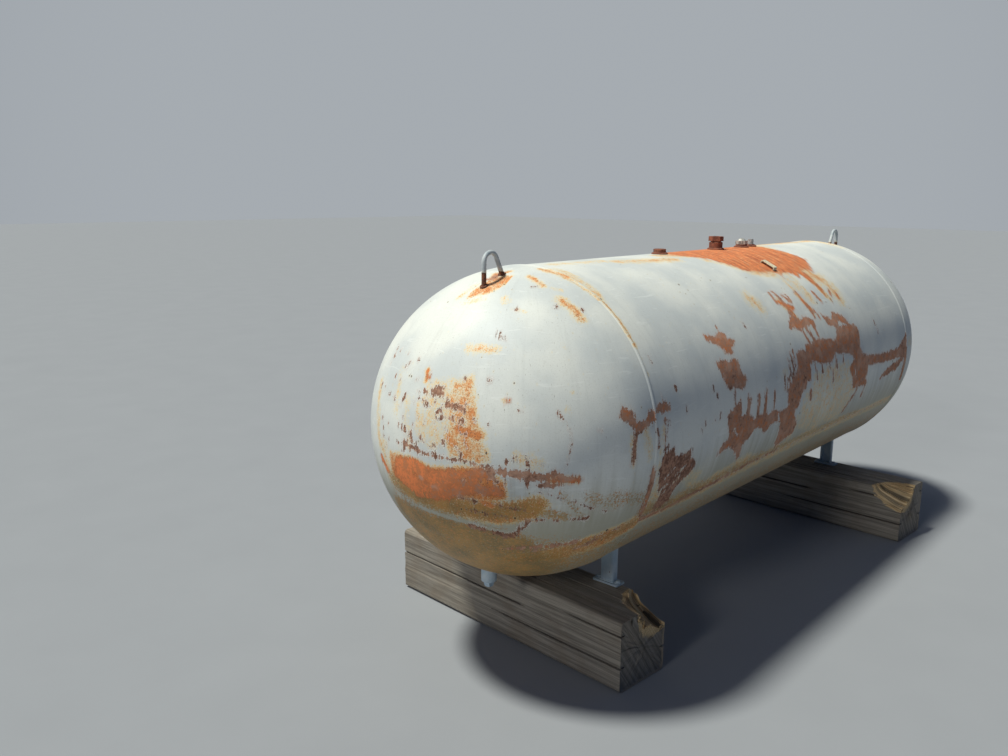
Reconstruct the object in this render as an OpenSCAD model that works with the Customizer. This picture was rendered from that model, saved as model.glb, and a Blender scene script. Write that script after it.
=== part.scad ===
// Horizontal pressure tank on two old timber sleepers.
// X runs along the vessel, from the near head (-X) to the far head (+X).
// Y is across it, Z is up, and the origin is on the ground under the middle of the vessel.
// The legs, lugs, weld fillets and bracket are coped to the vessel by cutting them with its own surface.

/* [Vessel] */
// Outside diameter of the shell and of both heads
vessel_d = 950; // [700:10:1200]
// Length of the rolled course, from the middle of one girth weld to the middle of the other
course_len = 2050; // [1800:10:3200]
// Thickness of the rolled shell plate
shell_t = 6; // [4:0.5:12]
// Thickness of the two pressed hemispherical heads
head_t = 5; // [4:0.5:12]

/* [Welds] */
// Root gap of the girth welds, between the shell and a head
root_gap = 3; // [1:0.5:6]
// Width of the girth weld beads
girth_bead_w = 16; // [8:1:30]
// Height of the girth weld beads above the plate
girth_bead_h = 2.5; // [1:0.5:5]
// Width of the long seam's bead
seam_bead_w = 13; // [6:1:24]
// Height of the long seam's bead above the plate
seam_bead_h = 2; // [1:0.5:4]
// Angle of the long seam from the top of the shell, towards -Y
seam_angle = 117.5; // [100:0.5:130]
// Leg length of the fillet welds round the couplings
fillet_leg = 7; // [3:0.5:12]

/* [Legs] */
// Clear height between the underside of the vessel and the timbers
under_clear = 65; // [40:1:160]
// Spacing of the two legs of a pair, from middle to middle
leg_gauge = 400; // [300:5:440]
// Distance from the near girth weld to the outer face of the near legs
near_leg_setback = 175; // [80:5:300]
// Distance from the far girth weld to the outer face of the far legs
far_leg_setback = 95; // [80:5:300]
// Width of a leg's web
leg_w = 50; // [40:1:80]
// Depth of a leg's flanges
leg_depth = 25; // [20:1:30]
// Thickness of the leg plate
leg_t = 5; // [3:0.5:7]
// Outside bend radius of a leg
leg_bend_r = 8; // [7.5:0.5:12]
// How far a foot plate reaches past its leg across the vessel, at each end
foot_end = 23; // [18:1:35]
// How far a foot plate reaches past its leg along the vessel, at each side
foot_side = 10.5; // [6:0.5:12]
// Thickness of a foot plate
foot_t = 6; // [4:0.5:12]
// Corner radius of a foot plate
foot_corner_r = 6; // [2:0.5:10]
// Diameter of the screw hole at each end of a foot plate
foot_hole_d = 11; // [8:0.5:14]

/* [Lifting lugs] */
// Distance of the middle of a lug's bend from the girth weld, along the vessel
lug_from_seam = 180; // [120:1:220]
// How far the near lug stands off the top line, towards -Y
near_lug_offset = 15; // [0:1:45]
// How far the far lug stands off the top line, towards -Y
far_lug_offset = 39; // [0:1:45]
// Height of the top of a lug above the top line of the shell
lug_rise = 53; // [45:1:100]
// Diameter of the bent bar
lug_bar_d = 14; // [8:0.5:20]
// Bend radius at the middle of the bar
lug_bend_r = 27; // [20:1:40]
// Angle off plumb of the leg on a lug's seam side; its other leg is plumb
lug_splay = 27; // [0:1:35]

/* [Riser coupling] */
// Distance of the riser coupling from the middle of the vessel, towards the near head
riser_from_middle = 290; // [230:1:600]
// Outside diameter of the riser coupling
riser_d = 45; // [42:0.5:60]
// Bore of the riser coupling
riser_bore_d = 29.4; // [20:0.1:34]
// Height of the riser coupling above the shell
riser_rise = 18; // [12:1:60]

/* [Vent coupling and bushing] */
// Distance of the vent coupling from the middle of the vessel, towards the far head
vent_from_middle = 120; // [60:1:200]
// Outside diameter of the vent coupling
vent_d = 52; // [50:0.5:80]
// Height of the vent coupling above the shell
vent_rise = 28; // [20:1:60]
// Diameter of the bushing where it screws into the vent coupling
bushing_d = 40; // [38:0.5:42]
// Bore of the bushing
bushing_bore_d = 29.4; // [20:0.1:34]
// Size of the bushing's hexagon across its flats
bushing_flats = 50; // [48:0.5:60]
// Height of the bushing's hexagon
bushing_hex_h = 18; // [8:0.5:25]
// Length of thread left showing under the bushing's hexagon
bushing_neck_h = 4; // [2:0.5:20]
// Depth to which the bushing is screwed in
bushing_depth = 18; // [8:0.5:20]

/* [Filler and gauge couplings] */
// Distance of the filler coupling from the middle of the vessel, towards the far head
filler_from_middle = 335; // [300:1:350]
// Outside diameter of the filler coupling
filler_d = 46; // [40:0.5:50]
// Diameter of the filler cap's stem
filler_stem_d = 28; // [20:0.5:30]
// Height of the filler coupling above the shell
filler_rise = 12; // [8:1:40]
// Size of the filler cap's hexagon across its flats
filler_flats = 42; // [36:0.5:46]
// Height of the filler cap's hexagon
filler_hex_h = 14; // [6:0.5:20]
// Height of the filler cap's crown above its hexagon
filler_crown_h = 10; // [4:0.5:16]
// Distance of the gauge coupling from the middle of the vessel, towards the far head
gauge_from_middle = 415; // [400:1:600]
// Outside diameter of the gauge coupling
gauge_d = 36; // [32:0.5:44]
// Diameter of the gauge plug's stem
gauge_stem_d = 20; // [14:0.5:24]
// Height of the gauge coupling above the shell
gauge_rise = 9; // [8:1:40]
// Size of the gauge plug's square head across its flats
gauge_flats = 18; // [12:0.5:21]
// Height of the gauge plug's square head
gauge_head_h = 20; // [8:0.5:26]

/* [Drain] */
// Distance of the drain coupling from the near girth weld, along the near head
drain_from_seam = 165; // [100:1:200]
// Outside diameter of the drain coupling
drain_d = 48; // [42:0.5:56]
// Diameter of the drain plug's stem
drain_stem_d = 30; // [20:0.5:34]
// Length of the drain coupling below the head, on its axis
drain_drop = 34; // [28:1:50]
// Size of the drain plug's square head across its flats
drain_flats = 22; // [16:0.5:28]
// Height of the drain plug's square head
drain_head_h = 16; // [8:0.5:20]

/* [Plate bracket] */
// Distance of the plate bracket from the middle of the vessel, towards the far head
bracket_from_middle = 130; // [40:1:260]
// Angle of the bracket from the top of the shell, towards -Y
bracket_angle = 27.5; // [22:0.5:60]
// Length of the bracket round the shell
bracket_l = 60; // [50:1:120]
// Width of the bracket along the shell
bracket_w = 26; // [20:1:60]
// Thickness of the bracket's strip
bracket_t = 3; // [2:0.5:4]
// Outside bend radius of the bracket
bracket_bend_r = 5; // [4.5:0.5:8]
// Height of the bracket's outer face above the shell
bracket_rise = 11; // [9:0.5:30]
// Diameter of the two screw holes in the bracket
bracket_hole_d = 5; // [3:0.5:8]
// Distance from the end of the bracket to the middle of a screw hole
bracket_hole_edge = 13; // [12:0.5:20]

/* [Timber sleepers] */
// Width of a sleeper
timber_w = 220; // [210:1:300]
// Height of a sleeper
timber_h = 230; // [150:1:320]
// Length of a sleeper
timber_l = 1020; // [1000:10:1600]
// Radius of a sleeper's worn long edges
timber_edge_r = 16; // [4:1:24]
// Distance of the near sleeper's middle from the near legs, away from the vessel's middle
near_timber_offset = 68; // [40:1:70]
// Distance of the far sleeper's middle from the far legs, towards the vessel's middle
far_timber_offset = 38; // [0:1:70]
// How far each sleeper is slid along its own length, the near one to +Y and the far one to -Y
timber_slide = 105; // [60:1:120]
// Angle at which both sleepers lie, off square to the vessel
timber_skew = 4; // [0:0.5:5]
// Depth of the deepest drying check in a sleeper
check_depth = 38; // [10:1:60]
// Width of a drying check at its mouth
check_mouth = 6; // [2:0.5:10]
// Radius of the rotted hollow at one end of each sleeper
rot_r = 150; // [80:5:160]

/* [Fits] */
// Clearance between a coupling and its hole in the plate
weld_gap = 0.3; // [0.1:0.1:1]
// Clearance between a screwed stem and its coupling, on the radius
thread_gap = 0.2; // [0.1:0.05:0.4]
// Chamfer on the rims of couplings, plugs and bushing
rim_chamfer = 1.5; // [0.5:0.5:2.5]

/* [Hidden] */

$fn = 96;
// Facets of the vessel's own surface, which cuts the pieces that are welded on to it
vessel_fn = 256;
// How far a cutting shape runs past the face that it cuts
over = 1;
near = -1;
far = 1;
left = 1;
right = -1;

shell_r = vessel_d / 2;
seam_x = course_len / 2;
axis_z = timber_h + under_clear + shell_r;
root_depth = min(shell_t, head_t);

// The outer face of the legs' webs at each end of the vessel
function leg_face_x(end) = end == near ? near_leg_setback - seam_x : seam_x - far_leg_setback;
// The middle of the legs and of their foot plates
function leg_x(end) = leg_face_x(end) - end * leg_depth / 2;
// The middle of each sleeper
function timber_x(end) = leg_x(end) - (end == near ? near_timber_offset : far_timber_offset);
// How far the shell's surface falls away from its top line, at a distance y across it
function sagitta(y) = shell_r - sqrt(shell_r * shell_r - y * y);
// Height of a head's surface over the vessel's axis plane, at a distance from the girth weld
function head_height(from_seam) = sqrt(shell_r * shell_r - from_seam * from_seam);

lug_x = seam_x + lug_from_seam;
lug_bend_z = shell_r + lug_rise - lug_bar_d / 2 - lug_bend_r;
lug_leg_l = lug_bend_z - head_height(lug_from_seam + lug_bend_r + lug_bar_d / 2) + lug_bar_d;
// How far a lug's leg runs back into the end of its bend
lug_bite = 0.5;
// How much thinner than the bend the legs are drawn, so that they enter its end faces
lug_step = 0.04;
drain_x = -(seam_x + drain_from_seam);
drain_seat_z = head_height(drain_from_seam);
// Length of the drain coupling above its seat, so that its upper end clears the sloping head
drain_inside = head_t + drain_seat_z - head_height(drain_from_seam + drain_d / 2) + over;
// Share of a coupling's depth that its plug fills
plug_depth_share = 0.7;
// Height of the rotted hollow's centre above a sleeper, as a share of the hollow's radius
rot_height_share = 0.45;

// Each row is one drying check: its place across the face, where it starts and ends along the
// sleeper, and its depth, as shares of the sleeper's own width, length and deepest check
TOP_CHECKS = [
    [0.24, 0.00, 0.62, 0.8], [0.41, 0.30, 1.00, 1.0], [0.57, 0.00, 0.35, 0.6], [0.79, 0.46, 1.00, 0.7]
];
SIDE_CHECKS = [[0.35, 0.00, 0.55, 0.7], [0.62, 0.38, 1.00, 1.0], [0.80, 0.00, 0.24, 0.5]];

// Vessel helpers

module on_axis() {
    translate([0, 0, axis_z]) children();
}

// The rolled course as one solid, to cut what is welded on to it
module course_solid() {
    rotate([0, 90, 0]) cylinder(h = course_len, r = shell_r, center = true, $fn = vessel_fn);
}

// A head as one solid ball, to cut what is welded on to it
module head_solid(end) {
    translate([end * seam_x, 0, 0]) sphere(r = shell_r, $fn = vessel_fn);
}

// A rectangle with round corners, its lower left corner at the origin
module round_square(size, r) {
    translate([r, 0]) square([size.x - 2 * r, size.y]);
    translate([0, r]) square([size.x, size.y - 2 * r]);
    for (x = [r, size.x - r], y = [r, size.y - r]) translate([x, y]) circle(r = r);
}

// Section of a strip bent to a channel: the web's outer face lies on x = 0, the flanges point to +x
module bent_channel(width, depth, t, bend_r) {
    intersection() {
        difference() {
            translate([0, -width / 2]) round_square([2 * depth, width], bend_r);
            translate([t, t - width / 2]) round_square([2 * depth, width - 2 * t], bend_r - t);
        }
        translate([0, -width / 2]) square([depth, width]);
    }
}

// Section of a weld bead: a flat circular arc on the x axis, bulging to +y
module bead_section(width, height) {
    bead_r = (width * width / 4 + height * height) / (2 * height);
    intersection() {
        translate([0, height - bead_r]) circle(r = bead_r);
        translate([-width / 2, 0]) square([width, height + over]);
    }
}

// Vessel

// A hole for a coupling, through the top of the shell
module coupling_hole(x, outer_d) {
    depth = shell_t + 2 * sagitta(outer_d / 2 + weld_gap) + over;
    translate([x, 0, shell_r - depth])
        cylinder(h = depth + over, d = outer_d + 2 * weld_gap);
}

module shell() {
    color("gainsboro") on_axis() difference() {
        rotate([0, 90, 0])
            cylinder(h = course_len - root_gap, r = shell_r, center = true, $fn = vessel_fn);
        rotate([0, 90, 0])
            cylinder(h = course_len, r = shell_r - shell_t, center = true, $fn = vessel_fn);
        coupling_hole(-riser_from_middle, riser_d);
        coupling_hole(vent_from_middle, vent_d);
        coupling_hole(filler_from_middle, filler_d);
        coupling_hole(gauge_from_middle, gauge_d);
    }
}

module head(end) {
    on_axis() translate([end * seam_x, 0, 0]) rotate([0, end * 90, 0])
        rotate_extrude($fn = vessel_fn) difference() {
            intersection() {
                circle(r = shell_r, $fn = vessel_fn);
                translate([0, root_gap / 2]) square([shell_r, shell_r]);
            }
            circle(r = shell_r - head_t, $fn = vessel_fn);
        }
}

module head_near() {
    color("gainsboro") difference() {
        head(near);
        on_axis() translate([drain_x, 0, -shell_r])
            cylinder(h = shell_r, d = drain_d + 2 * weld_gap);
    }
}

module head_far() {
    color("gainsboro") head(far);
}

// The weld fills the gap between shell and head, and stands above both as a bead
module girth_weld(end) {
    color("lightgray") on_axis() translate([end * seam_x, 0, 0]) rotate([0, 90, 0])
        rotate_extrude($fn = vessel_fn) {
            translate([shell_r, 0]) rotate(-90) bead_section(girth_bead_w, girth_bead_h);
            translate([shell_r - root_depth, -root_gap / 2])
                square([root_depth + girth_bead_h / 2, root_gap]);
        }
}

module long_seam_weld() {
    seam_l = course_len - girth_bead_w - 2 * weld_gap;
    color("lightgray") on_axis() rotate([seam_angle, 0, 0]) translate([0, 0, shell_r])
        rotate([90, 0, 90]) linear_extrude(height = seam_l, center = true)
            bead_section(seam_bead_w, seam_bead_h);
}

// Legs: channels bent from strip, their tops coped to the shell, each on its own foot plate

module leg(end, side) {
    color("lightsteelblue") difference() {
        translate([leg_face_x(end), side * leg_gauge / 2, timber_h + foot_t])
            mirror([end == far ? 1 : 0, 0, 0])
                linear_extrude(height = axis_z - timber_h - foot_t)
                    bent_channel(leg_w, leg_depth, leg_t, leg_bend_r);
        on_axis() course_solid();
    }
}

module foot_plate(end, side) {
    foot_w = leg_depth + 2 * foot_side;
    foot_l = leg_w + 2 * foot_end;
    color("lightsteelblue") translate([leg_x(end), side * leg_gauge / 2, timber_h])
        linear_extrude(height = foot_t) difference() {
            translate([-foot_w / 2, -foot_l / 2]) round_square([foot_w, foot_l], foot_corner_r);
            for (y = [-1, 1]) translate([0, y * (leg_w + foot_end) / 2]) circle(d = foot_hole_d);
        }
}

// Lifting lugs: a round bar bent to an eye and welded to the top of each head by its two ends.
// The outer leg stands plumb, the leg on the seam's side leans

module lug_leg() {
    translate([lug_bend_r, 0, -lug_bite]) cylinder(h = lug_leg_l + lug_bite, d = lug_bar_d - lug_step);
}

module lug_bar() {
    rotate([90, 0, 0])
        rotate_extrude(angle = 180 - lug_splay) translate([lug_bend_r, 0]) circle(d = lug_bar_d);
    mirror([0, 0, 1]) lug_leg();
    rotate([0, lug_splay, 0]) mirror([1, 0, 0]) mirror([0, 0, 1]) lug_leg();
}

module lifting_lug(end) {
    lug_offset = end == near ? near_lug_offset : far_lug_offset;
    color("gainsboro") on_axis() difference() {
        translate([end * lug_x, -lug_offset, lug_bend_z]) mirror([end == near ? 1 : 0, 0, 0]) lug_bar();
        head_solid(end);
    }
}

// Couplings: short threaded sockets let into the plate and welded round

// A coupling stands on z = 0 with its bore open at both ends and its rim chamfered
module coupling(outer_d, bore_d, h) {
    rotate_extrude() polygon([
        [bore_d / 2, 0],
        [outer_d / 2, 0],
        [outer_d / 2, h - rim_chamfer],
        [outer_d / 2 - rim_chamfer, h],
        [bore_d / 2 + rim_chamfer, h],
        [bore_d / 2, h - rim_chamfer]
    ]);
}

module shell_coupling(x, outer_d, bore_d, rise) {
    on_axis() translate([x, 0, shell_r - shell_t]) coupling(outer_d, bore_d, shell_t + rise);
}

// The fillet weld round a coupling: a cone that runs down into the shell's curve
module fillet_ring(x, outer_d) {
    drop = sagitta(outer_d / 2 + 2 * fillet_leg) + over;
    color("peru") on_axis() difference() {
        translate([x, 0, shell_r]) rotate_extrude() polygon([
            [outer_d / 2, -drop],
            [outer_d / 2 + fillet_leg + drop, -drop],
            [outer_d / 2, fillet_leg]
        ]);
        course_solid();
    }
}

module riser_coupling() {
    color("sienna") shell_coupling(-riser_from_middle, riser_d, riser_bore_d, riser_rise);
}

module vent_coupling() {
    color("sienna")
        shell_coupling(vent_from_middle, vent_d, bushing_d + 2 * thread_gap, vent_rise);
}

module filler_coupling() {
    color("sienna")
        shell_coupling(filler_from_middle, filler_d, filler_stem_d + 2 * thread_gap, filler_rise);
}

module gauge_coupling() {
    color("sienna")
        shell_coupling(gauge_from_middle, gauge_d, gauge_stem_d + 2 * thread_gap, gauge_rise);
}

// A hexagon on z = 0 with the corners of its upper face turned off
module turned_hexagon(flats, h) {
    corner_r = flats / 2 / cos(30);
    intersection() {
        cylinder(h = h, r = corner_r, $fn = 6);
        rotate_extrude() polygon([
            [0, 0],
            [corner_r + over, 0],
            [corner_r + over, h - rim_chamfer],
            [corner_r - 2 * rim_chamfer, h],
            [0, h]
        ]);
    }
}

// The bushing reduces the vent coupling to the pipe's thread
module vent_bushing() {
    color("rosybrown") on_axis() translate([vent_from_middle, 0, shell_r + vent_rise]) difference() {
        union() {
            translate([0, 0, -bushing_depth]) cylinder(h = bushing_depth + bushing_neck_h, d = bushing_d);
            translate([0, 0, bushing_neck_h]) turned_hexagon(bushing_flats, bushing_hex_h);
        }
        translate([0, 0, -bushing_depth - over])
            cylinder(h = bushing_depth + bushing_neck_h + bushing_hex_h + 2 * over, d = bushing_bore_d);
    }
}

// The filler's cap: a stem, a hexagon and a domed crown, turned in one piece
module filler_cap() {
    crown_r = filler_flats / 2 - rim_chamfer;
    stem_depth = plug_depth_share * (filler_rise + shell_t);
    color("silver") on_axis() translate([filler_from_middle, 0, shell_r + filler_rise]) {
        translate([0, 0, -stem_depth]) cylinder(h = stem_depth, d = filler_stem_d);
        turned_hexagon(filler_flats, filler_hex_h);
        translate([0, 0, filler_hex_h]) rotate_extrude() intersection() {
            translate([0, filler_crown_h - crown_r]) circle(r = crown_r);
            square([crown_r, filler_crown_h]);
        }
    }
}

// A square-headed pipe plug: its stem runs down from z = 0, its head stands on it
module square_plug(stem_d, stem_depth, flats, head_h) {
    translate([0, 0, -stem_depth]) cylinder(h = stem_depth + rim_chamfer, d = stem_d);
    intersection() {
        translate([-flats / 2, -flats / 2, 0]) cube([flats, flats, rim_chamfer + head_h]);
        cylinder(h = rim_chamfer + head_h, r1 = flats, r2 = flats / 2 + rim_chamfer);
    }
}

module gauge_plug() {
    color("silver") on_axis() translate([gauge_from_middle, 0, shell_r + gauge_rise])
        square_plug(gauge_stem_d, plug_depth_share * (gauge_rise + shell_t), gauge_flats, gauge_head_h);
}

// The drain: a plugged coupling that hangs straight down from the near head

module drain_coupling() {
    color("lightsteelblue") on_axis() translate([drain_x, 0, drain_inside - drain_seat_z])
        mirror([0, 0, 1])
            coupling(drain_d, drain_stem_d + 2 * thread_gap, drain_drop + drain_inside);
}

module drain_plug() {
    color("lightsteelblue") on_axis() translate([drain_x, 0, -drain_seat_z - drain_drop])
        mirror([0, 0, 1])
            square_plug(drain_stem_d, plug_depth_share * drain_drop, drain_flats, drain_head_h);
}

// The plate bracket: a strip bent to a shallow channel, its two legs coped to the shell

module plate_bracket() {
    color("gainsboro") on_axis() difference() {
        translate([bracket_from_middle, 0, 0]) rotate([bracket_angle, 0, 0])
            translate([0, 0, shell_r + bracket_rise]) difference() {
                rotate([0, 90, 0]) linear_extrude(height = bracket_w, center = true)
                    bent_channel(bracket_l, 2 * bracket_rise, bracket_t, bracket_bend_r);
                for (y = [-1, 1]) translate([0, y * (bracket_l / 2 - bracket_hole_edge), -bracket_t - over])
                    cylinder(h = bracket_t + 2 * over, d = bracket_hole_d);
            }
        course_solid();
    }
}

// Timber sleepers: squared balks with worn edges, drying checks and one rotted end

// A check as a V-shaped slot, its mouth on z = 0, running along y
module drying_check(run, depth) {
    rotate([-90, 0, 0]) linear_extrude(height = run)
        polygon([[-check_mouth / 2, -over], [check_mouth / 2, -over], [check_mouth / 2, 0],
                 [0, depth], [-check_mouth / 2, 0]]);
}

module timber(end) {
    color("tan") translate([timber_x(end), -end * timber_slide, 0]) rotate([0, 0, -timber_skew])
        difference() {
            translate([-timber_w / 2, timber_l / 2, 0]) rotate([90, 0, 0])
                linear_extrude(height = timber_l) round_square([timber_w, timber_h], timber_edge_r);
            for (c = TOP_CHECKS)
                translate([(c[0] - 0.5) * timber_w, (c[1] - 0.5) * timber_l - over, timber_h])
                    drying_check((c[2] - c[1]) * timber_l + 2 * over, c[3] * check_depth);
            for (c = SIDE_CHECKS, side = [-1, 1])
                translate([side * timber_w / 2, (c[1] - 0.5) * timber_l - over, c[0] * timber_h])
                    rotate([0, side * 90, 0])
                        drying_check((c[2] - c[1]) * timber_l + 2 * over, c[3] * check_depth);
            translate([-end * timber_w / 2, -timber_l / 2, timber_h + rot_height_share * rot_r])
                sphere(r = rot_r);
        }
}

shell();
head_near();
head_far();
girth_weld(near);  // girth_weld_near
girth_weld(far);  // girth_weld_far
long_seam_weld();
leg(near, left);  // leg_near_left
leg(near, right);  // leg_near_right
leg(far, left);  // leg_far_left
leg(far, right);  // leg_far_right
foot_plate(near, left);  // foot_plate_near_left
foot_plate(near, right);  // foot_plate_near_right
foot_plate(far, left);  // foot_plate_far_left
foot_plate(far, right);  // foot_plate_far_right
lifting_lug(near);  // lifting_lug_near
lifting_lug(far);  // lifting_lug_far
riser_coupling();
fillet_ring(-riser_from_middle, riser_d);  // riser_weld
vent_coupling();
fillet_ring(vent_from_middle, vent_d);  // vent_weld
vent_bushing();
filler_coupling();
fillet_ring(filler_from_middle, filler_d);  // filler_weld
filler_cap();
gauge_coupling();
fillet_ring(gauge_from_middle, gauge_d);  // gauge_weld
gauge_plug();
drain_coupling();
drain_plug();
plate_bracket();
timber(near);  // timber_near
timber(far);  // timber_far
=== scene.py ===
import math
from types import SimpleNamespace

import bmesh
import bpy
import numpy as np
from mathutils import Matrix, Vector


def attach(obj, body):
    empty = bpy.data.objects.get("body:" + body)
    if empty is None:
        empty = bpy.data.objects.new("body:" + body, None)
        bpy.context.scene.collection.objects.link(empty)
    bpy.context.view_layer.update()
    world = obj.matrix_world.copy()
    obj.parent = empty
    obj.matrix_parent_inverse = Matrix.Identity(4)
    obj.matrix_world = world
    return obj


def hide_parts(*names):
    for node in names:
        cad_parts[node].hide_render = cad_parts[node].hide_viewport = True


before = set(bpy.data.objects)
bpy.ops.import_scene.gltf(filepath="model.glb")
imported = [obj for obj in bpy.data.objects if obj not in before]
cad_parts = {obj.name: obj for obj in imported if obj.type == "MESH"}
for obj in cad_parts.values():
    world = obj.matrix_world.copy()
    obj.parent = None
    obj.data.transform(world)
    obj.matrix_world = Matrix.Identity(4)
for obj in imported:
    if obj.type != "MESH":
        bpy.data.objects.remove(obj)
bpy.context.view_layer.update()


# The vessel: rolled course and two round heads
# Steel plate, 6 mm and 5 mm, painted white long ago. The chalky paint has flaked to brown rust in
# patches, stained yellow under its pores, and gathered dirt along its belly, which is also darkened
# with painted shade.
RADIUS = 0.475
HALF_COURSE = 1.025
AXIS_HEIGHT = 0.770
SHELL_PLATE = 0.006
HEAD_PLATE = 0.005


def on_shell(x, angle):
    """A point of the course: x along it, and degrees from the top line towards the long seam's side."""
    turned = math.radians(angle)
    return (x, -RADIUS * math.sin(turned), AXIS_HEIGHT + RADIUS * math.cos(turned))


def on_head(side, azimuth, down):
    """A point of a head: degrees round from its tip to the seam's side, and degrees down from its top."""
    around, drop = math.radians(azimuth), math.radians(down)
    ring = RADIUS * math.sin(drop)
    x = side * (HALF_COURSE + ring * math.cos(around))
    return (x, -ring * math.sin(around), AXIS_HEIGHT + RADIUS * math.cos(drop))
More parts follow.
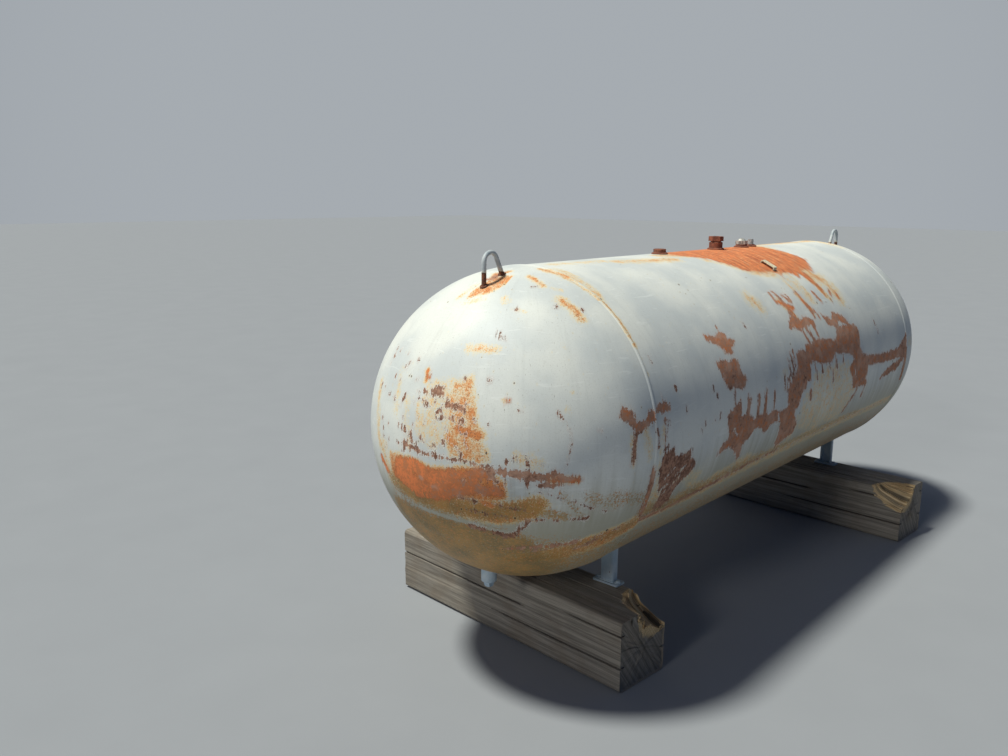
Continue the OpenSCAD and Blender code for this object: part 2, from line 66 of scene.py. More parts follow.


# The wear on the vessel, drawn after the photograph. Places on the course are x in metres and
# degrees down from the top line. Places on a head are degrees round from its tip and degrees down.

# Bare patches of the course: how bright the rust is, from 0 dark brown to 1 orange, and the patch's edge
BARE_ON_SHELL = [
    # the dark scraped patch beside the near seam
    (0.1, [(-0.985, 93), (-0.955, 92), (-0.935, 91.8), (-0.91, 95.6), (-0.885, 96.3), (-0.865, 96.2),
           (-0.83, 94.8), (-0.825, 98.2), (-0.79, 102), (-0.8, 105), (-0.835, 106.6), (-0.865, 108.6),
           (-0.88, 111.5), (-0.88, 115), (-0.92, 116.5), (-0.96, 115.8), (-0.955, 110), (-0.985, 105),
           (-1.0, 98)]),
    # the pair of patches under the middle
    (0.5, [(-0.65, 56.3), (-0.605, 57.9), (-0.59, 57.6), (-0.572, 56.6), (-0.545, 56.7), (-0.53, 57.9),
           (-0.533, 59.3), (-0.51, 60.4), (-0.488, 61), (-0.51, 62.2), (-0.528, 63.7), (-0.528, 65),
           (-0.545, 65.2), (-0.57, 64.5), (-0.575, 62.8), (-0.595, 61), (-0.62, 59.9), (-0.635, 58.7),
           (-0.65, 57.8)]),
    (0.3, [(-0.65, 66.8), (-0.6, 66.9), (-0.568, 68.4), (-0.545, 67.3), (-0.527, 67.4), (-0.515, 68.8),
           (-0.512, 70.8), (-0.517, 73.1), (-0.505, 74.5), (-0.487, 75.1), (-0.48, 76.9),
           (-0.498, 78.7), (-0.52, 79.5), (-0.543, 78.6), (-0.567, 78.4), (-0.595, 78), (-0.62, 76),
           (-0.627, 73.5), (-0.637, 70.6), (-0.648, 68.5)]),
    # the toothed band below them
    (0.33, [(-0.625, 87.7), (-0.59, 86.1), (-0.558, 84.8), (-0.542, 83.4), (-0.532, 85.2),
            (-0.529, 89.7), (-0.498, 90.2), (-0.49, 84.1), (-0.478, 82.9), (-0.467, 84.1),
            (-0.476, 90.3), (-0.44, 93.2), (-0.422, 92.1), (-0.418, 83.7), (-0.405, 83.7), (-0.4, 85.2),
            (-0.409, 92.3), (-0.377, 93.1), (-0.367, 85.9), (-0.355, 82.4), (-0.343, 83.6),
            (-0.355, 91.5), (-0.335, 94.1), (-0.3, 92.2), (-0.25, 94.2), (-0.203, 94.5), (-0.175, 92.9),
            (-0.19, 90.2), (-0.188, 86.1), (-0.175, 83.7), (-0.137, 85.5), (-0.1, 86.2), (-0.095, 90),
            (-0.103, 94.5), (-0.115, 97.7), (-0.1, 100.3), (-0.07, 104.4), (-0.077, 108.8),
            (-0.14, 110), (-0.19, 112.2), (-0.215, 108.4), (-0.21, 106.9), (-0.215, 102.6),
            (-0.222, 99.6), (-0.273, 98.4), (-0.31, 98.9), (-0.315, 100.4), (-0.34, 100.9),
            (-0.38, 98.2), (-0.405, 97.7), (-0.43, 98.4), (-0.477, 101.8), (-0.493, 103.2),
            (-0.482, 108), (-0.5, 109), (-0.52, 105.9), (-0.556, 102.5), (-0.585, 101), (-0.617, 101.7),
            (-0.655, 102.4), (-0.65, 99.8), (-0.625, 98.2), (-0.6, 97.6), (-0.605, 94.6),
            (-0.613, 91.4)]),
    # the two capes above the great patch, and the great patch itself with its arm towards the far seam
    (0.4, [(-0.085, 61.5), (-0.075, 59), (-0.02, 55.8), (0.005, 57.3), (0.02, 59.1), (0.07, 57.8),
           (0.085, 58.9), (0.125, 60.7), (0.125, 63), (0.08, 62.3), (0.05, 62.5), (-0.01, 63.4),
           (-0.035, 62.7), (-0.065, 61.6)]),
    (0.4, [(0.2, 57.5), (0.24, 60.5), (0.28, 61.5), (0.31, 59), (0.37, 61), (0.41, 63.5), (0.42, 67),
           (0.37, 65), (0.33, 63), (0.31, 66), (0.27, 65.5), (0.235, 64), (0.225, 62)]),
    (0.4, [(-0.01, 70.1), (0.05, 70.4), (0.105, 68.8), (0.16, 70.1), (0.215, 70.6), (0.24, 71.9),
           (0.272, 70.7), (0.285, 68.5), (0.315, 66.5), (0.38, 66.2), (0.43, 66.5), (0.48, 68),
           (0.495, 70.3), (0.485, 73.7), (0.48, 78.1), (0.505, 82.2), (0.6, 84.3), (0.7, 85.1),
           (0.79, 85.5), (0.87, 85.5), (0.955, 85.8), (0.955, 90.5), (0.87, 90.4), (0.79, 90),
           (0.7, 89.7), (0.615, 88.6), (0.565, 88.7), (0.562, 91.1), (0.55, 94.3), (0.575, 97.3),
           (0.57, 98.9), (0.52, 98.2), (0.475, 97.3), (0.445, 98.6), (0.42, 97.4), (0.415, 94.2),
           (0.385, 90.3), (0.367, 86.5), (0.393, 84.7), (0.415, 83.3), (0.4, 81), (0.354, 79.3),
           (0.288, 78.3), (0.235, 76.9), (0.197, 80.5), (0.148, 80.6), (0.098, 79.8), (0.045, 78.4),
           (0.015, 77.7), (-0.002, 80.4), (-0.02, 75)]),
    (0.3, [(-0.1, 72.5), (-0.05, 71.5), (-0.015, 73), (0.0, 77), (0.0, 82), (0.0, 85.5), (-0.03, 86),
           (-0.045, 88.5), (-0.075, 90), (-0.085, 94), (-0.1, 96), (-0.14, 93), (-0.19, 92),
           (-0.185, 88), (-0.165, 86), (-0.155, 82), (-0.12, 81), (-0.1, 77)]),
    (0.3, [(0.72, 98.3), (0.75, 96.5), (0.8, 94.8), (0.85, 93.5), (0.9, 92.5), (0.95, 91.5), (0.99, 91),
           (0.99, 93), (0.94, 95), (0.91, 97.5), (0.86, 96.5), (0.82, 98), (0.78, 97.8), (0.74, 99)]),
    (0.25, [(0.9, 85.5), (0.95, 83.5), (0.985, 81.5), (1.02, 79), (1.02, 93), (0.96, 91), (0.9, 90)]),
    # the rust that has crept out along the long seam
    (0.35, [(-1.02, 117.2), (-0.9, 118), (-0.78, 117.4), (-0.66, 117), (-0.55, 116), (-0.46, 115.4),
            (-0.36, 114.6), (-0.15, 114.6), (-0.15, 115.1), (-0.36, 115.3), (-0.46, 116.3),
            (-0.55, 117.1), (-0.66, 118), (-0.78, 118.8), (-0.9, 119.6), (-1.02, 119.2)]),
    # the ragged bright sheet over the top line, round the couplings
    (1.0, [(-0.29, -4), (-0.27, 8), (-0.19, 13), (-0.148, 18), (-0.127, 21.5), (-0.1, 25),
           (-0.07, 28.5), (0.0, 30.5), (0.06, 31), (0.1, 30.5), (0.14, 35), (0.17, 33), (0.21, 34),
           (0.25, 37), (0.28, 36), (0.33, 44), (0.35, 47), (0.34, 40), (0.33, 33), (0.38, 33),
           (0.42, 35), (0.45, 31), (0.49, 26), (0.47, 20), (0.44, 14), (0.42, 8), (0.4, 2), (0.4, -8),
           (0.3, -14), (0.1, -17), (-0.12, -12)]),
]
# Streaks and drops of rust on the course: half width in mm, brightness, and the line followed. Where the
# half width is below nothing, the line is only speckled.
RUST_ON_SHELL = [
    (3, 0.2, [(-0.57, 78), (-0.57, 84), (-0.585, 89)]),
    (4, 0.25, [(-0.295, 85), (-0.295, 92)]),
    (3, 0.2, [(-0.56, 54.5)]),
    (9, 0.3, [(-1.03, 98), (-1.03, 105), (-1.022, 115)]),
    (4, 0.25, [(-1.02, 84), (-1.018, 90)]),
    (4, 0.0, [(-0.985, 91.5), (-0.965, 91)]),
    (3, 0.2, [(-0.175, 81), (-0.178, 86)]),
    (3, 0.2, [(-0.15, 80.5), (-0.152, 86)]),
    (3, 0.2, [(-0.12, 80), (-0.122, 87)]),
    (9, 0.35, [(0.0, 91), (0.008, 94)]),
    (2.5, 0.3, [(0.05, 82), (0.055, 86)]),
    (2.5, 0.3, [(0.15, 80), (0.155, 84)]),
    (3, 0.35, [(0.24, 83), (0.25, 88)]),
    (2.5, 0.3, [(0.2, 85), (0.205, 90)]),
    (2.5, 0.1, [(0.68, 68), (0.69, 72)]),
    (6, 0.4, [(0.0, 63), (0.03, 70)]),
    (7, 0.4, [(0.04, 63), (0.08, 70)]),
    (5, 0.4, [(0.1, 62.5), (0.12, 69)]),
    (-3, 0.1, [(-0.8, 117), (-0.3, 115)]),
    (-3, 0.2, [(-0.3, 115.5), (0.9, 115.5)]),
    (-3, 0.2, [(-1.0, 117), (-0.4, 116.5)]),
    (6, 0.4, [(-0.05, 43), (-0.035, 48), (-0.028, 52)]),
    (6, 0.45, [(0.005, 46.5), (0.025, 49.5)]),
    (5, 0.35, [(-0.028, 52), (-0.03, 55.5)]),
    (6, 0.4, [(0.12, 45), (0.126, 49), (0.138, 53)]),
    (5, 0.35, [(0.138, 53), (0.146, 59)]),
    (6, 0.45, [(0.4, 48.5), (0.385, 51)]),
    (3.5, 0.15, [(-0.145, 71), (-0.14, 75)]),
    (3.5, 0.15, [(-0.16, 76), (-0.165, 80.5)]),
    (4, 0.15, [(-0.13, 75.5), (-0.14, 81)]),
    (3, 0.15, [(-0.19, 82), (-0.2, 87)]),
    (3, 0.15, [(-0.21, 80), (-0.215, 85)]),
    (-3, 0.1, [(-0.2, 78), (-0.14, 74)]),
    (4, 0.2, [(0.04, 79), (0.045, 83)]),
    (4, 0.2, [(0.1, 80), (0.105, 84)]),
    (3, 0.2, [(0.17, 80), (0.175, 84)]),
    (3.5, 0.2, [(-0.17, 73.5), (-0.17, 77.5)]),
    (3.5, 0.2, [(-0.14, 73), (-0.14, 78)]),
    (4, 0.25, [(-0.122, 71), (-0.12, 78)]),
    (4, 0.3, [(0.23, 77), (0.235, 84)]),
    (3, 0.3, [(0.3, 78), (0.305, 83)]),
    (8, 0.85, [(-0.065, 48.5), (-0.03, 51), (0.015, 53)]),
    (6, 0.6, [(-0.022, 52), (0.0, 57)]),
    (4, 0.8, [(0.107, 46), (0.125, 50)]),
    (8, 0.8, [(0.12, 50), (0.15, 56)]),
    (4, 0.5, [(0.16, 55), (0.185, 60)]),
    (3, 0.5, [(-0.08, 44), (-0.078, 49)]),
    (3, 0.4, [(0.02, 45), (0.037, 49)]),
    (6, 0.9, [(0.44, 50.5), (0.44, 52.5)]),
    (5, 0.5, [(0.25, 47), (0.27, 53)]),
    (15, 0.3, [(1.005, 84), (1.02, 96), (1.02, 103)]),
    (5, 0.4, [(0.475, 99), (0.43, 104), (0.395, 109)]),
    (4, 0.4, [(0.56, 98), (0.55, 104)]),
    (3, 0.3, [(-0.16, 111), (-0.17, 116)]),
]
# Short upright ticks on the shell where rust has come through
SPOTS_ON_SHELL = [
    (-0.96, 82), (-0.905, 71.5), (-0.78, 88.5), (-0.76, 87), (-0.7, 86.5), (-0.665, 86), (-0.86, 79.5),
    (-0.7, 75.5), (-0.68, 78.5), (-0.985, 73.5), (-0.385, 55), (-0.615, 87), (0.38, 50.5),
    (0.365, 52.5), (0.7, 73), (-0.98, 59.5),
]
# Bare patches of the near head, in the same way
BARE_ON_NEAR_HEAD = [
    # two brown flakes, and the thin flaked line below them that runs into the dark band
    (0.1, [(11.6, 72.9), (13.2, 71.8), (15.8, 72.1), (18.8, 72.5), (19.6, 73.8), (17.7, 74.2),
           (14.7, 73.9), (12.6, 73.4)]),
    (0.1, [(5.5, 68.9), (8.6, 67.6), (10.2, 67), (11.2, 67.5), (10, 69), (11, 69.9), (13, 70.7),
           (9.4, 70.4), (7, 69.6)]),
    (0.22, [(27, 91), (30, 91.8), (33, 91.2), (36, 91.7), (39.5, 91.9), (43, 92.3), (46, 93.1),
            (49.5, 92), (51.5, 93), (53.5, 94.6), (58, 95.2), (53.5, 95.4), (48, 94.6), (44, 94.9),
            (40, 94.9), (36, 94.4), (32, 93.9), (29.5, 93)]),
    # the broad orange field under the line, brighter at its left
    (0.84, [(-11.5, 101), (-10, 97), (-8.5, 93.8), (-2.5, 92.8), (1.5, 92.5), (4.5, 93.3), (7.3, 94.2),
            (8.0, 99), (6.5, 103.5), (5.5, 106), (2, 106.5), (-0.5, 105.8), (-4, 104), (-8.5, 102.5)]),
    (0.66, [(6.5, 94.2), (9.8, 94.2), (14, 94), (16.5, 93.5), (20, 93.4), (23.4, 92.5), (25.3, 91.2),
            (27, 92), (29.8, 93), (28.8, 95), (26, 95.2), (25, 97), (27, 98), (30, 97.7), (33.3, 99.1),
            (33, 101.5), (29.8, 101.2), (27, 100.5), (21.5, 101.5), (17.3, 102.5), (15, 104.5),
            (9.5, 105.5), (5.5, 106)]),
    # the patch that straddles the seam
    (0.3, [(74.4, 73.6), (76.7, 74.1), (78.7, 75.4), (79.4, 77.6), (80.1, 79.3), (81.8, 79.8),
           (83.9, 79.2), (84.7, 78), (87, 77.1), (90, 77), (91.9, 75.6), (94.8, 75), (97.4, 75.5),
           (99.3, 77.4), (98.9, 78.7), (96.4, 79.3), (93.7, 78.8), (91.6, 78.1), (90.2, 78.7),
           (89.6, 80.2), (87.6, 80.9), (84.8, 81.5), (82.1, 82.6), (79.6, 82.9), (78.1, 81.6),
           (77.2, 79.8), (74.7, 78.3), (72.7, 77.1), (72.6, 75.9), (73.5, 74.8)]),
]
# Streaks and drops on the near head, in the same way
RUST_ON_NEAR_HEAD = [
    (3, 0.1, [(-4.9, 90.5), (-2.5, 87.5), (-0.7, 85.5), (1.4, 88), (3.5, 89.3), (6.8, 89.9), (10, 89.8),
              (16, 90), (22, 90.2), (27, 91.4)]),
    (2.5, 0.1, [(-0.7, 85.5), (-1.2, 83.5)]),
    (3, 0.1, [(34.5, 89), (35, 91.5)]),
    (3, 0.1, [(40.3, 87.5), (41, 90)]),
    (3, 0.15, [(44.5, 96.8), (51.5, 96.8)]),
    (5, 0.85, [(48, 95.2), (57, 95.4)]),
    (8, 0.9, [(-20, 97.5), (-16.5, 101)]),
    (3, 0.15, [(9, 76), (11, 75)]),
    (3, 0.2, [(12, 77), (16.5, 76.5)]),
    (4, 0.9, [(1.5, 63)]),
    (4, 0.9, [(2.5, 65)]),
    (3, 0.9, [(34, 70)]),
    (3, 0.0, [(38, 73)]),
    (3, 0.1, [(65, 80.5)]),
    (3, 0.0, [(57, 36)]),
    (3, 0.0, [(71.5, 38)]),
    (2.5, 0.0, [(34.5, 37.5)]),
    (2.5, 0.0, [(46, 25)]),
    (1.6, 0.0, [(28.5, 47.5), (29.5, 49), (31, 49.5)]),
    (3, 0.1, [(37, 87.5)]),
    (2.5, 0.1, [(4, 71)]),
    (2.5, 0.1, [(2, 72.5), (5, 73.5)]),
    (2.5, 0.1, [(38.5, 88.5)]),
    (3, 0.3, [(79, 82.5), (78, 88), (78, 93)]),
    (3, 0.3, [(96, 80), (95, 90)]),
    (7, 0.2, [(89, 97), (89, 105)]),
    (5, 0.3, [(88.5, 106), (88.5, 114)]),
    # brown flakes low down
    (5, 0.15, [(21, 114), (32, 116.5), (36, 117), (38.7, 113.5), (41.5, 110.3)]),
    (7, 0.1, [(33, 117.5)]),
    (3, 0.1, [(44, 110), (46, 110)]),
    (3, 0.1, [(51, 110.3)]),
    (3, 0.1, [(57, 110)]),
    (3, 0.1, [(60, 110.5), (62, 110)]),
    (5, 0.35, [(33, 124), (45, 122.5), (60, 121.5)]),
    (4, 0.3, [(62, 125), (72, 121)]),
    # a curved scuff and the yellow field, both only speckled
    (-3, 0.1, [(50.7, 73.4), (53.5, 77), (54.7, 80.1), (54.8, 84), (54.3, 87.5), (53.1, 91.6)]),
    (-2.5, 0.1, [(10, 70), (17, 78), (22, 86)]),
    (-2.5, 0.1, [(5, 72), (9, 80), (12, 87)]),
    (-2.5, 0.1, [(37, 86), (46, 90)]),
    (-2, 0.2, [(12, 76), (14, 83), (20, 88)]),
    (-1.5, 0.1, [(45, 99), (58, 104), (70, 109)]),
    (-1, 0.1, [(18, 103), (30, 104), (40, 106)]),
    (-1, 0.1, [(20, 107), (34, 109)]),
    (7, 0.1, [(13.2, 72.9), (18.3, 73.3)]),
    (7, 0.1, [(7.2, 68.8), (10.5, 69.3)]),
    (6, 0.1, [(-4.5, 88.2), (0.5, 88.8), (3, 89.6)]),
    (6, 0.15, [(28, 92), (36, 92.9), (46, 93.9), (53, 94.5)]),
    (3, 0.15, [(12, 76.5), (16, 77.5)]),
    (3, 0.1, [(2, 69.5), (4, 70)]),
    (2.5, 0.0, [(20, 97), (20.3, 97.6)]),
    (2, 0.0, [(-4, 96), (-4, 96.5)]),
    (2, 0.0, [(8, 101), (8.5, 101.5)]),
    (2.5, 0.0, [(25, 99.5), (25.5, 100)]),
    (2, 0.0, [(3, 98.5), (3.5, 98.8)]),
    (3, 0.05, [(28, 92.5), (31, 95.5)]),
    (2.5, 0.05, [(35, 94), (34, 97.5)]),
    (2, 0.05, [(41, 94.5), (41, 97)]),
    (-1, 0.3, [(40, 122), (60, 121), (80, 118)]),
    (-1, 0.3, [(34, 126), (50, 124)]),
    # the foot of the near lug
    (7, 0.25, [(1, 17.5), (1, 19.5)]),
    (8, 0.3, [(1.5, 14.5), (1.5, 17)]),
    (5, 0.5, [(-3, 21), (5, 20)]),
]
# Islands of paint that still hold inside the rust: half width in mm, and the line followed
PAINT_KEPT_ON_HEAD = [
    (3.5, [(9.2, 87), (9.2, 89.2)]),
    (3.5, [(12.8, 87), (12.8, 89.2)]),
    (8, [(27, 96.2), (33, 96.8)]),
    (6, [(5, 104.3)]),
    (12, [(37, 98.5), (52, 98.5)]),
    (3, [(-2, 91), (4, 91.6)]),
    (2, [(0, 97), (2, 99)]),
    (2, [(19, 96.4), (21, 96.2)]),
]
PAINT_KEPT_ON_SHELL = [
    (2.5, [(-0.97, 108), (-0.85, 101)]),
    (2, [(-0.95, 110), (-0.86, 104)]),
    (2, [(-0.96, 103), (-0.9, 99.5)]),
    (3, [(0.01, 64), (0.06, 70)]),
    (3, [(0.045, 63), (0.1, 69)]),
    (3, [(-0.25, 96), (-0.24, 98)]),
    (3, [(0.42, 88), (0.44, 92)]),
    (2.5, [(-0.57, 94), (-0.55, 97)]),
    (4, [(0.33, 63.5), (0.35, 66)]),
]
# Stained fields of the near head: strength, and the field's edge
SOAKED_ON_NEAR_HEAD = [
    (0.9, [(-10, 102), (1, 106), (13, 105), (25, 102.5), (35, 103), (45, 100), (49, 104), (43, 110),
           (31, 112.3), (13, 110), (-2, 109), (-10, 106)]),
    (0.8, [(27, 130.5), (33, 134), (57, 131), (75, 127), (92, 122), (92, 114), (70, 118), (54, 122.3),
           (38.6, 126.3)]),
    (0.42, [(3, 66), (10, 64), (15, 64), (16, 78), (10, 89), (0, 84), (2, 78)]),
    (0.74, [(14, 65), (21.1, 62.5), (24, 72), (26, 81.3), (29.3, 87.6), (29, 91), (16, 89.5), (12, 84),
            (15, 78), (13, 71)]),
    (0.95, [(-14, 101), (-13, 93), (-2, 92), (8, 93.5), (26, 91), (34, 96), (35, 102), (28, 103.5),
            (18, 105), (8, 108), (-3, 107), (-10, 105)]),
    (0.85, [(0.6, 34.2), (-2, 30.5), (-1, 27.5), (1, 21), (10, 17), (23.3, 16.5), (22, 24), (13, 30),
            (6, 31.5)]),
    (0.7, [(15, 52.5), (22, 51.5), (30, 52.8), (29, 55), (20, 55.3), (15, 54.5)]),
    (0.52, [(62, 8), (74, 8), (90, 9), (90, 24), (82, 22), (74, 15), (66, 13)]),
]
# Stained fields of the course, along its long seam
SOAKED_ON_SHELL = [
    (0.42, [(0.02, 84), (0.12, 82), (0.36, 82), (0.4, 92), (0.45, 99), (0.4, 108), (0.3, 112),
            (0.05, 111), (-0.06, 106), (-0.05, 96), (0.0, 89)]),
    (0.55, [(-1.02, 10), (-0.985, 9), (-0.975, 18), (-0.99, 30), (-1.005, 36), (-1.02, 36)]),
    (0.5, [(-1.02, 106), (-0.98, 103), (-0.95, 112), (-0.88, 115), (-0.8, 113), (-0.72, 113.5),
           (-0.62, 111), (-0.5, 110), (-0.42, 108), (-0.36, 111), (-0.28, 112.5), (-0.15, 111),
           (-0.05, 112.5), (0.1, 111), (0.25, 113), (0.4, 112), (0.7, 114), (1.02, 114), (1.02, 119),
           (0.5, 118.8), (0.0, 119), (-0.5, 120), (-0.8, 120.5), (-1.02, 121)]),
]
# Stains in the paint: half width in mm, strength from 0 pale yellow to 1 orange, and the line followed
STAIN_ON_NEAR_HEAD = [
    (14, 0.9, [(-4, 16), (3, 19)]),
    (14, 0.4, [(-7, 33), (-4, 24)]),
    (13, 0.4, [(2, 35.5), (12, 32.5)]),
    (10, 0.8, [(10, 12), (6, 16)]),
    (13, 0.8, [(43.5, 17), (53, 24)]),
    (10, 0.45, [(60, 26), (66, 27)]),
    (19, 0.8, [(61.5, 33), (66, 37), (67.5, 42)]),
    (9, 0.35, [(33, 37), (39, 38)]),
    (14, 0.8, [(72, 9), (82, 14), (88.5, 18.7)]),
    (9, 0.3, [(24, 32), (30, 33.5)]),
    (12, 0.25, [(55, 52)]),
    (9, 0.8, [(1.5, 63), (2, 66)]),
    (18, 1.1, [(18, 80), (25, 81.5)]),
    (18, 0.5, [(-28, 72), (-23, 84), (-21, 92)]),
    (10, 0.5, [(1, 74), (2, 82)]),
    (14, 0.35, [(-13, 64), (-10, 80)]),
    (20, 0.3, [(-5, 74), (-2, 88)]),
    (7, 0.6, [(33, 70)]),
    (14, 0.3, [(54, 73)]),
    (7, 0.5, [(56.3, 67.5)]),
    (26, 0.55, [(-18, 92), (-14, 103)]),
    (22, 0.6, [(32, 126), (44, 125), (58, 123.5), (70, 121.5), (80, 120), (90, 118)]),
    (9, 0.6, [(83, 19), (87, 26), (89.5, 34)]),
    (12, 0.7, [(48, 95), (57, 95.5)]),
    (26, 0.55, [(35, 104), (43, 106)]),
    (12, 0.4, [(26, 31), (26, 34)]),
    (22, 0.4, [(38, 88), (44, 90)]),
    (12, 0.6, [(78, 84), (78, 93)]),
    (16, 0.5, [(84, 83), (86, 92)]),
]
STAIN_ON_SHELL = [
    (7, 0.55, [(-1.012, 14), (-1.012, 28), (-1.018, 37)]),
    (9, 0.8, [(-1.02, 36), (-1.022, 46), (-1.02, 54)]),
    (5, 0.5, [(-1.018, 54), (-1.018, 66)]),
    (10, 0.35, [(-0.985, 12), (-0.99, 24)]),
    (28, 0.45, [(-0.95, 3), (-0.7, 5)]),
    (28, 0.65, [(-0.66, 8), (-0.5, 11), (-0.35, 12)]),
    (34, 0.7, [(-0.35, 4), (-0.2, 9)]),
    (60, 1.0, [(-0.02, 3), (0.4, 5)]),
    (60, 1.0, [(0.0, 16), (0.38, 17)]),
    (38, 1.0, [(0.04, 28), (0.36, 30)]),
    (44, 0.6, [(0.34, 38), (0.43, 42), (0.45, 52)]),
    (34, 0.45, [(0.15, 38), (0.2, 50)]),
    (36, 0.6, [(0.44, -3), (0.75, -4), (1.0, -3)]),
    (26, 0.35, [(-1.0, 96), (-0.98, 109)]),
    (22, 0.5, [(-0.2, 16), (-0.06, 30), (0.08, 34)]),
    (13, 0.9, [(0.3, 36), (0.33, 44), (0.34, 50)]),
    (16, 0.6, [(0.335, 44), (0.36, 52)]),
    (12, 0.7, [(0.38, 33), (0.4, 40)]),
    (16, 0.45, [(0.2, 36), (0.21, 50)]),
    (14, 0.4, [(0.1, 34), (0.12, 44)]),
    (36, 0.62, [(-0.24, 45.5), (-0.215, 49)]),
    (18, 0.55, [(-0.05, 49), (0.0, 58)]),
    (16, 0.5, [(0.11, 47), (0.15, 57)]),
    (9, 0.5, [(0.44, 50), (0.45, 54)]),
    (26, 0.35, [(0.45, 0), (0.75, 0)]),
    (36, 0.5, [(0.75, -2), (1.0, 0)]),
    (20, 0.4, [(1.02, 5), (1.02, 18)]),
    (12, 0.6, [(-1.02, 118), (-0.9, 119.5), (-0.64, 119.5), (-0.48, 117.5), (-0.36, 116), (0.0, 115),
               (0.5, 115), (1.0, 115)]),
    (26, 0.4, [(-0.03, 92), (-0.1, 112)]),
    (30, 0.45, [(0.2, 86), (0.12, 112)]),
    (26, 0.45, [(0.42, 98), (0.33, 112)]),
    (22, 0.3, [(0.3, 84), (0.28, 104)]),
    (20, 0.35, [(-0.2, 79), (-0.22, 79.5)]),
    (26, 0.4, [(-0.9, 104), (-0.75, 108)]),
    (20, 0.5, [(-0.98, 108), (-0.92, 118)]),
    (14, 0.35, [(-0.99, 84), (-1.0, 92)]),
    (16, 0.4, [(-0.8, 110), (-0.7, 114)]),
]
STAIN_ON_FAR_HEAD = [
    (60, 0.5, [(20, 10), (80, 12)]),
    (24, 0.4, [(85, 84), (60, 88)]),
]
# Dirt that has dried on the vessel's lower parts: half width in mm, strength, and the line followed
GRIME_ON_NEAR_HEAD = [
    (40, 0.6, [(-12, 104), (5, 107.5), (20, 107), (32, 107.5), (44, 105)]),
    (20, 0.5, [(42, 105), (54, 109)]),
    (28, 0.33, [(62, 102), (74, 107)]),
    (14, 0.35, [(52, 100), (60, 109)]),
    (34, 0.36, [(72, 104), (88, 108)]),
    (46, 1.0, [(-14, 116), (10, 117.5), (27, 119.5), (38, 122)]),
    (46, 1.0, [(0, 127), (25, 130), (45, 134)]),
    (22, 0.5, [(38, 120), (47, 124)]),
    (34, 0.42, [(50, 125), (70, 122), (92, 117)]),
]
GRIME_ON_SHELL = [
    (40, 0.5, [(-1.02, 114), (-0.85, 117), (-0.7, 116)]),
    (30, 0.42, [(-0.7, 116), (-0.5, 114.5), (-0.3, 113.5)]),
    (20, 0.36, [(-0.3, 113.5), (0.1, 113.5), (0.6, 114)]),
]
# The pale strip where the dirt has not caught
CLEAN_ON_NEAR_HEAD = [
    (5, [(0, 110.7), (11, 112), (21, 112.8), (33.5, 115.5), (37, 114), (40, 111)]),
    (7, [(26, 103), (29, 105)]),
]

ENDS = [("near", -1), ("far", 1)]
# Ticks: half width in mm, and length in degrees
TICK_WIDTH = 1.6
TICK_LENGTH = 1.4
HEAD_SPECKS = 70
# The hidden side: how many patches and ticks its course has, and for each head its side, the degrees
# round from its tip between which its patches lie, and how many there are
HIDDEN_PATCHES = 11
HIDDEN_TICKS = 30
HIDDEN_ON_HEADS = [(1, -85, 40, 6), (-1, -88, -68, 3)]
# Spacing in metres of the upright runs that make up a patch
RUN_PITCH = 0.013


def shell_marks(rows):
    """Rows whose lines lie on the course, with the lines' points in space."""
    return [(*measures, [on_shell(*p) for p in line]) for *measures, line in rows]


def head_marks(rows, side=-1):
    """Rows whose lines lie on a head, with the lines' points in space."""
    return [(*measures, [on_head(side, *p) for p in line]) for *measures, line in rows]


def far_side_marks(seed):
    """Rust and stain marks for the side that the photograph doesn't show, in the same kinds of patch."""
    chance = np.random.default_rng(seed)
    rust, stain = [], []

    def patch(point, width, drop, tone):
        """A ragged patch: upright runs side by side, some with a thin tail, and a stain round them."""
        run = chance.uniform(1, 6)
        for across in np.arange(0, width, RUN_PITCH):
            drop += chance.normal(0, 0.9)
            run = max(0.5, run + chance.normal(0, 1.7))
            foot = drop + run
            rust.append((chance.uniform(6, 11), tone, [point(across, drop), point(across + 0.004, foot)]))
            if chance.random() < 0.35:
                tail = foot + abs(chance.normal(0, 6))
                rust.append((2.5, tone, [point(across, foot), point(across, tail)]))
            if chance.random() < 0.3:
                strength = chance.uniform(0.25, 0.5)
                stain.append((26, strength, [point(across, drop), point(across, foot + 4)]))

    for _ in range(HIDDEN_PATCHES):
        x = chance.uniform(-0.98, 0.85)
        width, drop = chance.uniform(0.03, 0.26), chance.uniform(40, 108)
        tone = chance.uniform(0.1, 0.4)
        patch(lambda across, down: on_shell(x + across, -down), width, drop, tone)
    for side, first, last, patches in HIDDEN_ON_HEADS:
        for _ in range(patches):
            middle = chance.uniform(first, last)
            width, drop = chance.uniform(0.03, 0.2), chance.uniform(52, 108)
            tone = chance.uniform(0.1, 0.5)
            patch(lambda across, down: on_head(side, middle + 125 * across, down), width, drop, tone)
    for _ in range(HIDDEN_TICKS):
        x, angle = chance.uniform(-1.0, 1.0), -chance.uniform(35, 115)
        rust.append((TICK_WIDTH, 0.0, [on_shell(x, angle), on_shell(x, angle - TICK_LENGTH)]))
    stain.append((22, 0.5, [on_shell(-1.0, -118), on_shell(1.0, -118)]))
    stain.append((70, 0.9, [on_shell(-0.05, -8), on_shell(0.42, -10)]))
    return rust, stain


def head_specks(seed):
    """Small rust specks sown over the stained part of the near head."""
    chance = np.random.default_rng(seed)
    rounds = chance.uniform(-26, 28, HEAD_SPECKS)
    drops = chance.uniform(58, 93, HEAD_SPECKS)
    sizes = chance.uniform(0.2, 1.6, HEAD_SPECKS)
    return [(size, 0.1, [on_head(-1, around, down), on_head(-1, around, down + 0.3 + 0.2 * size)])
            for around, down, size in zip(rounds, drops, sizes)]


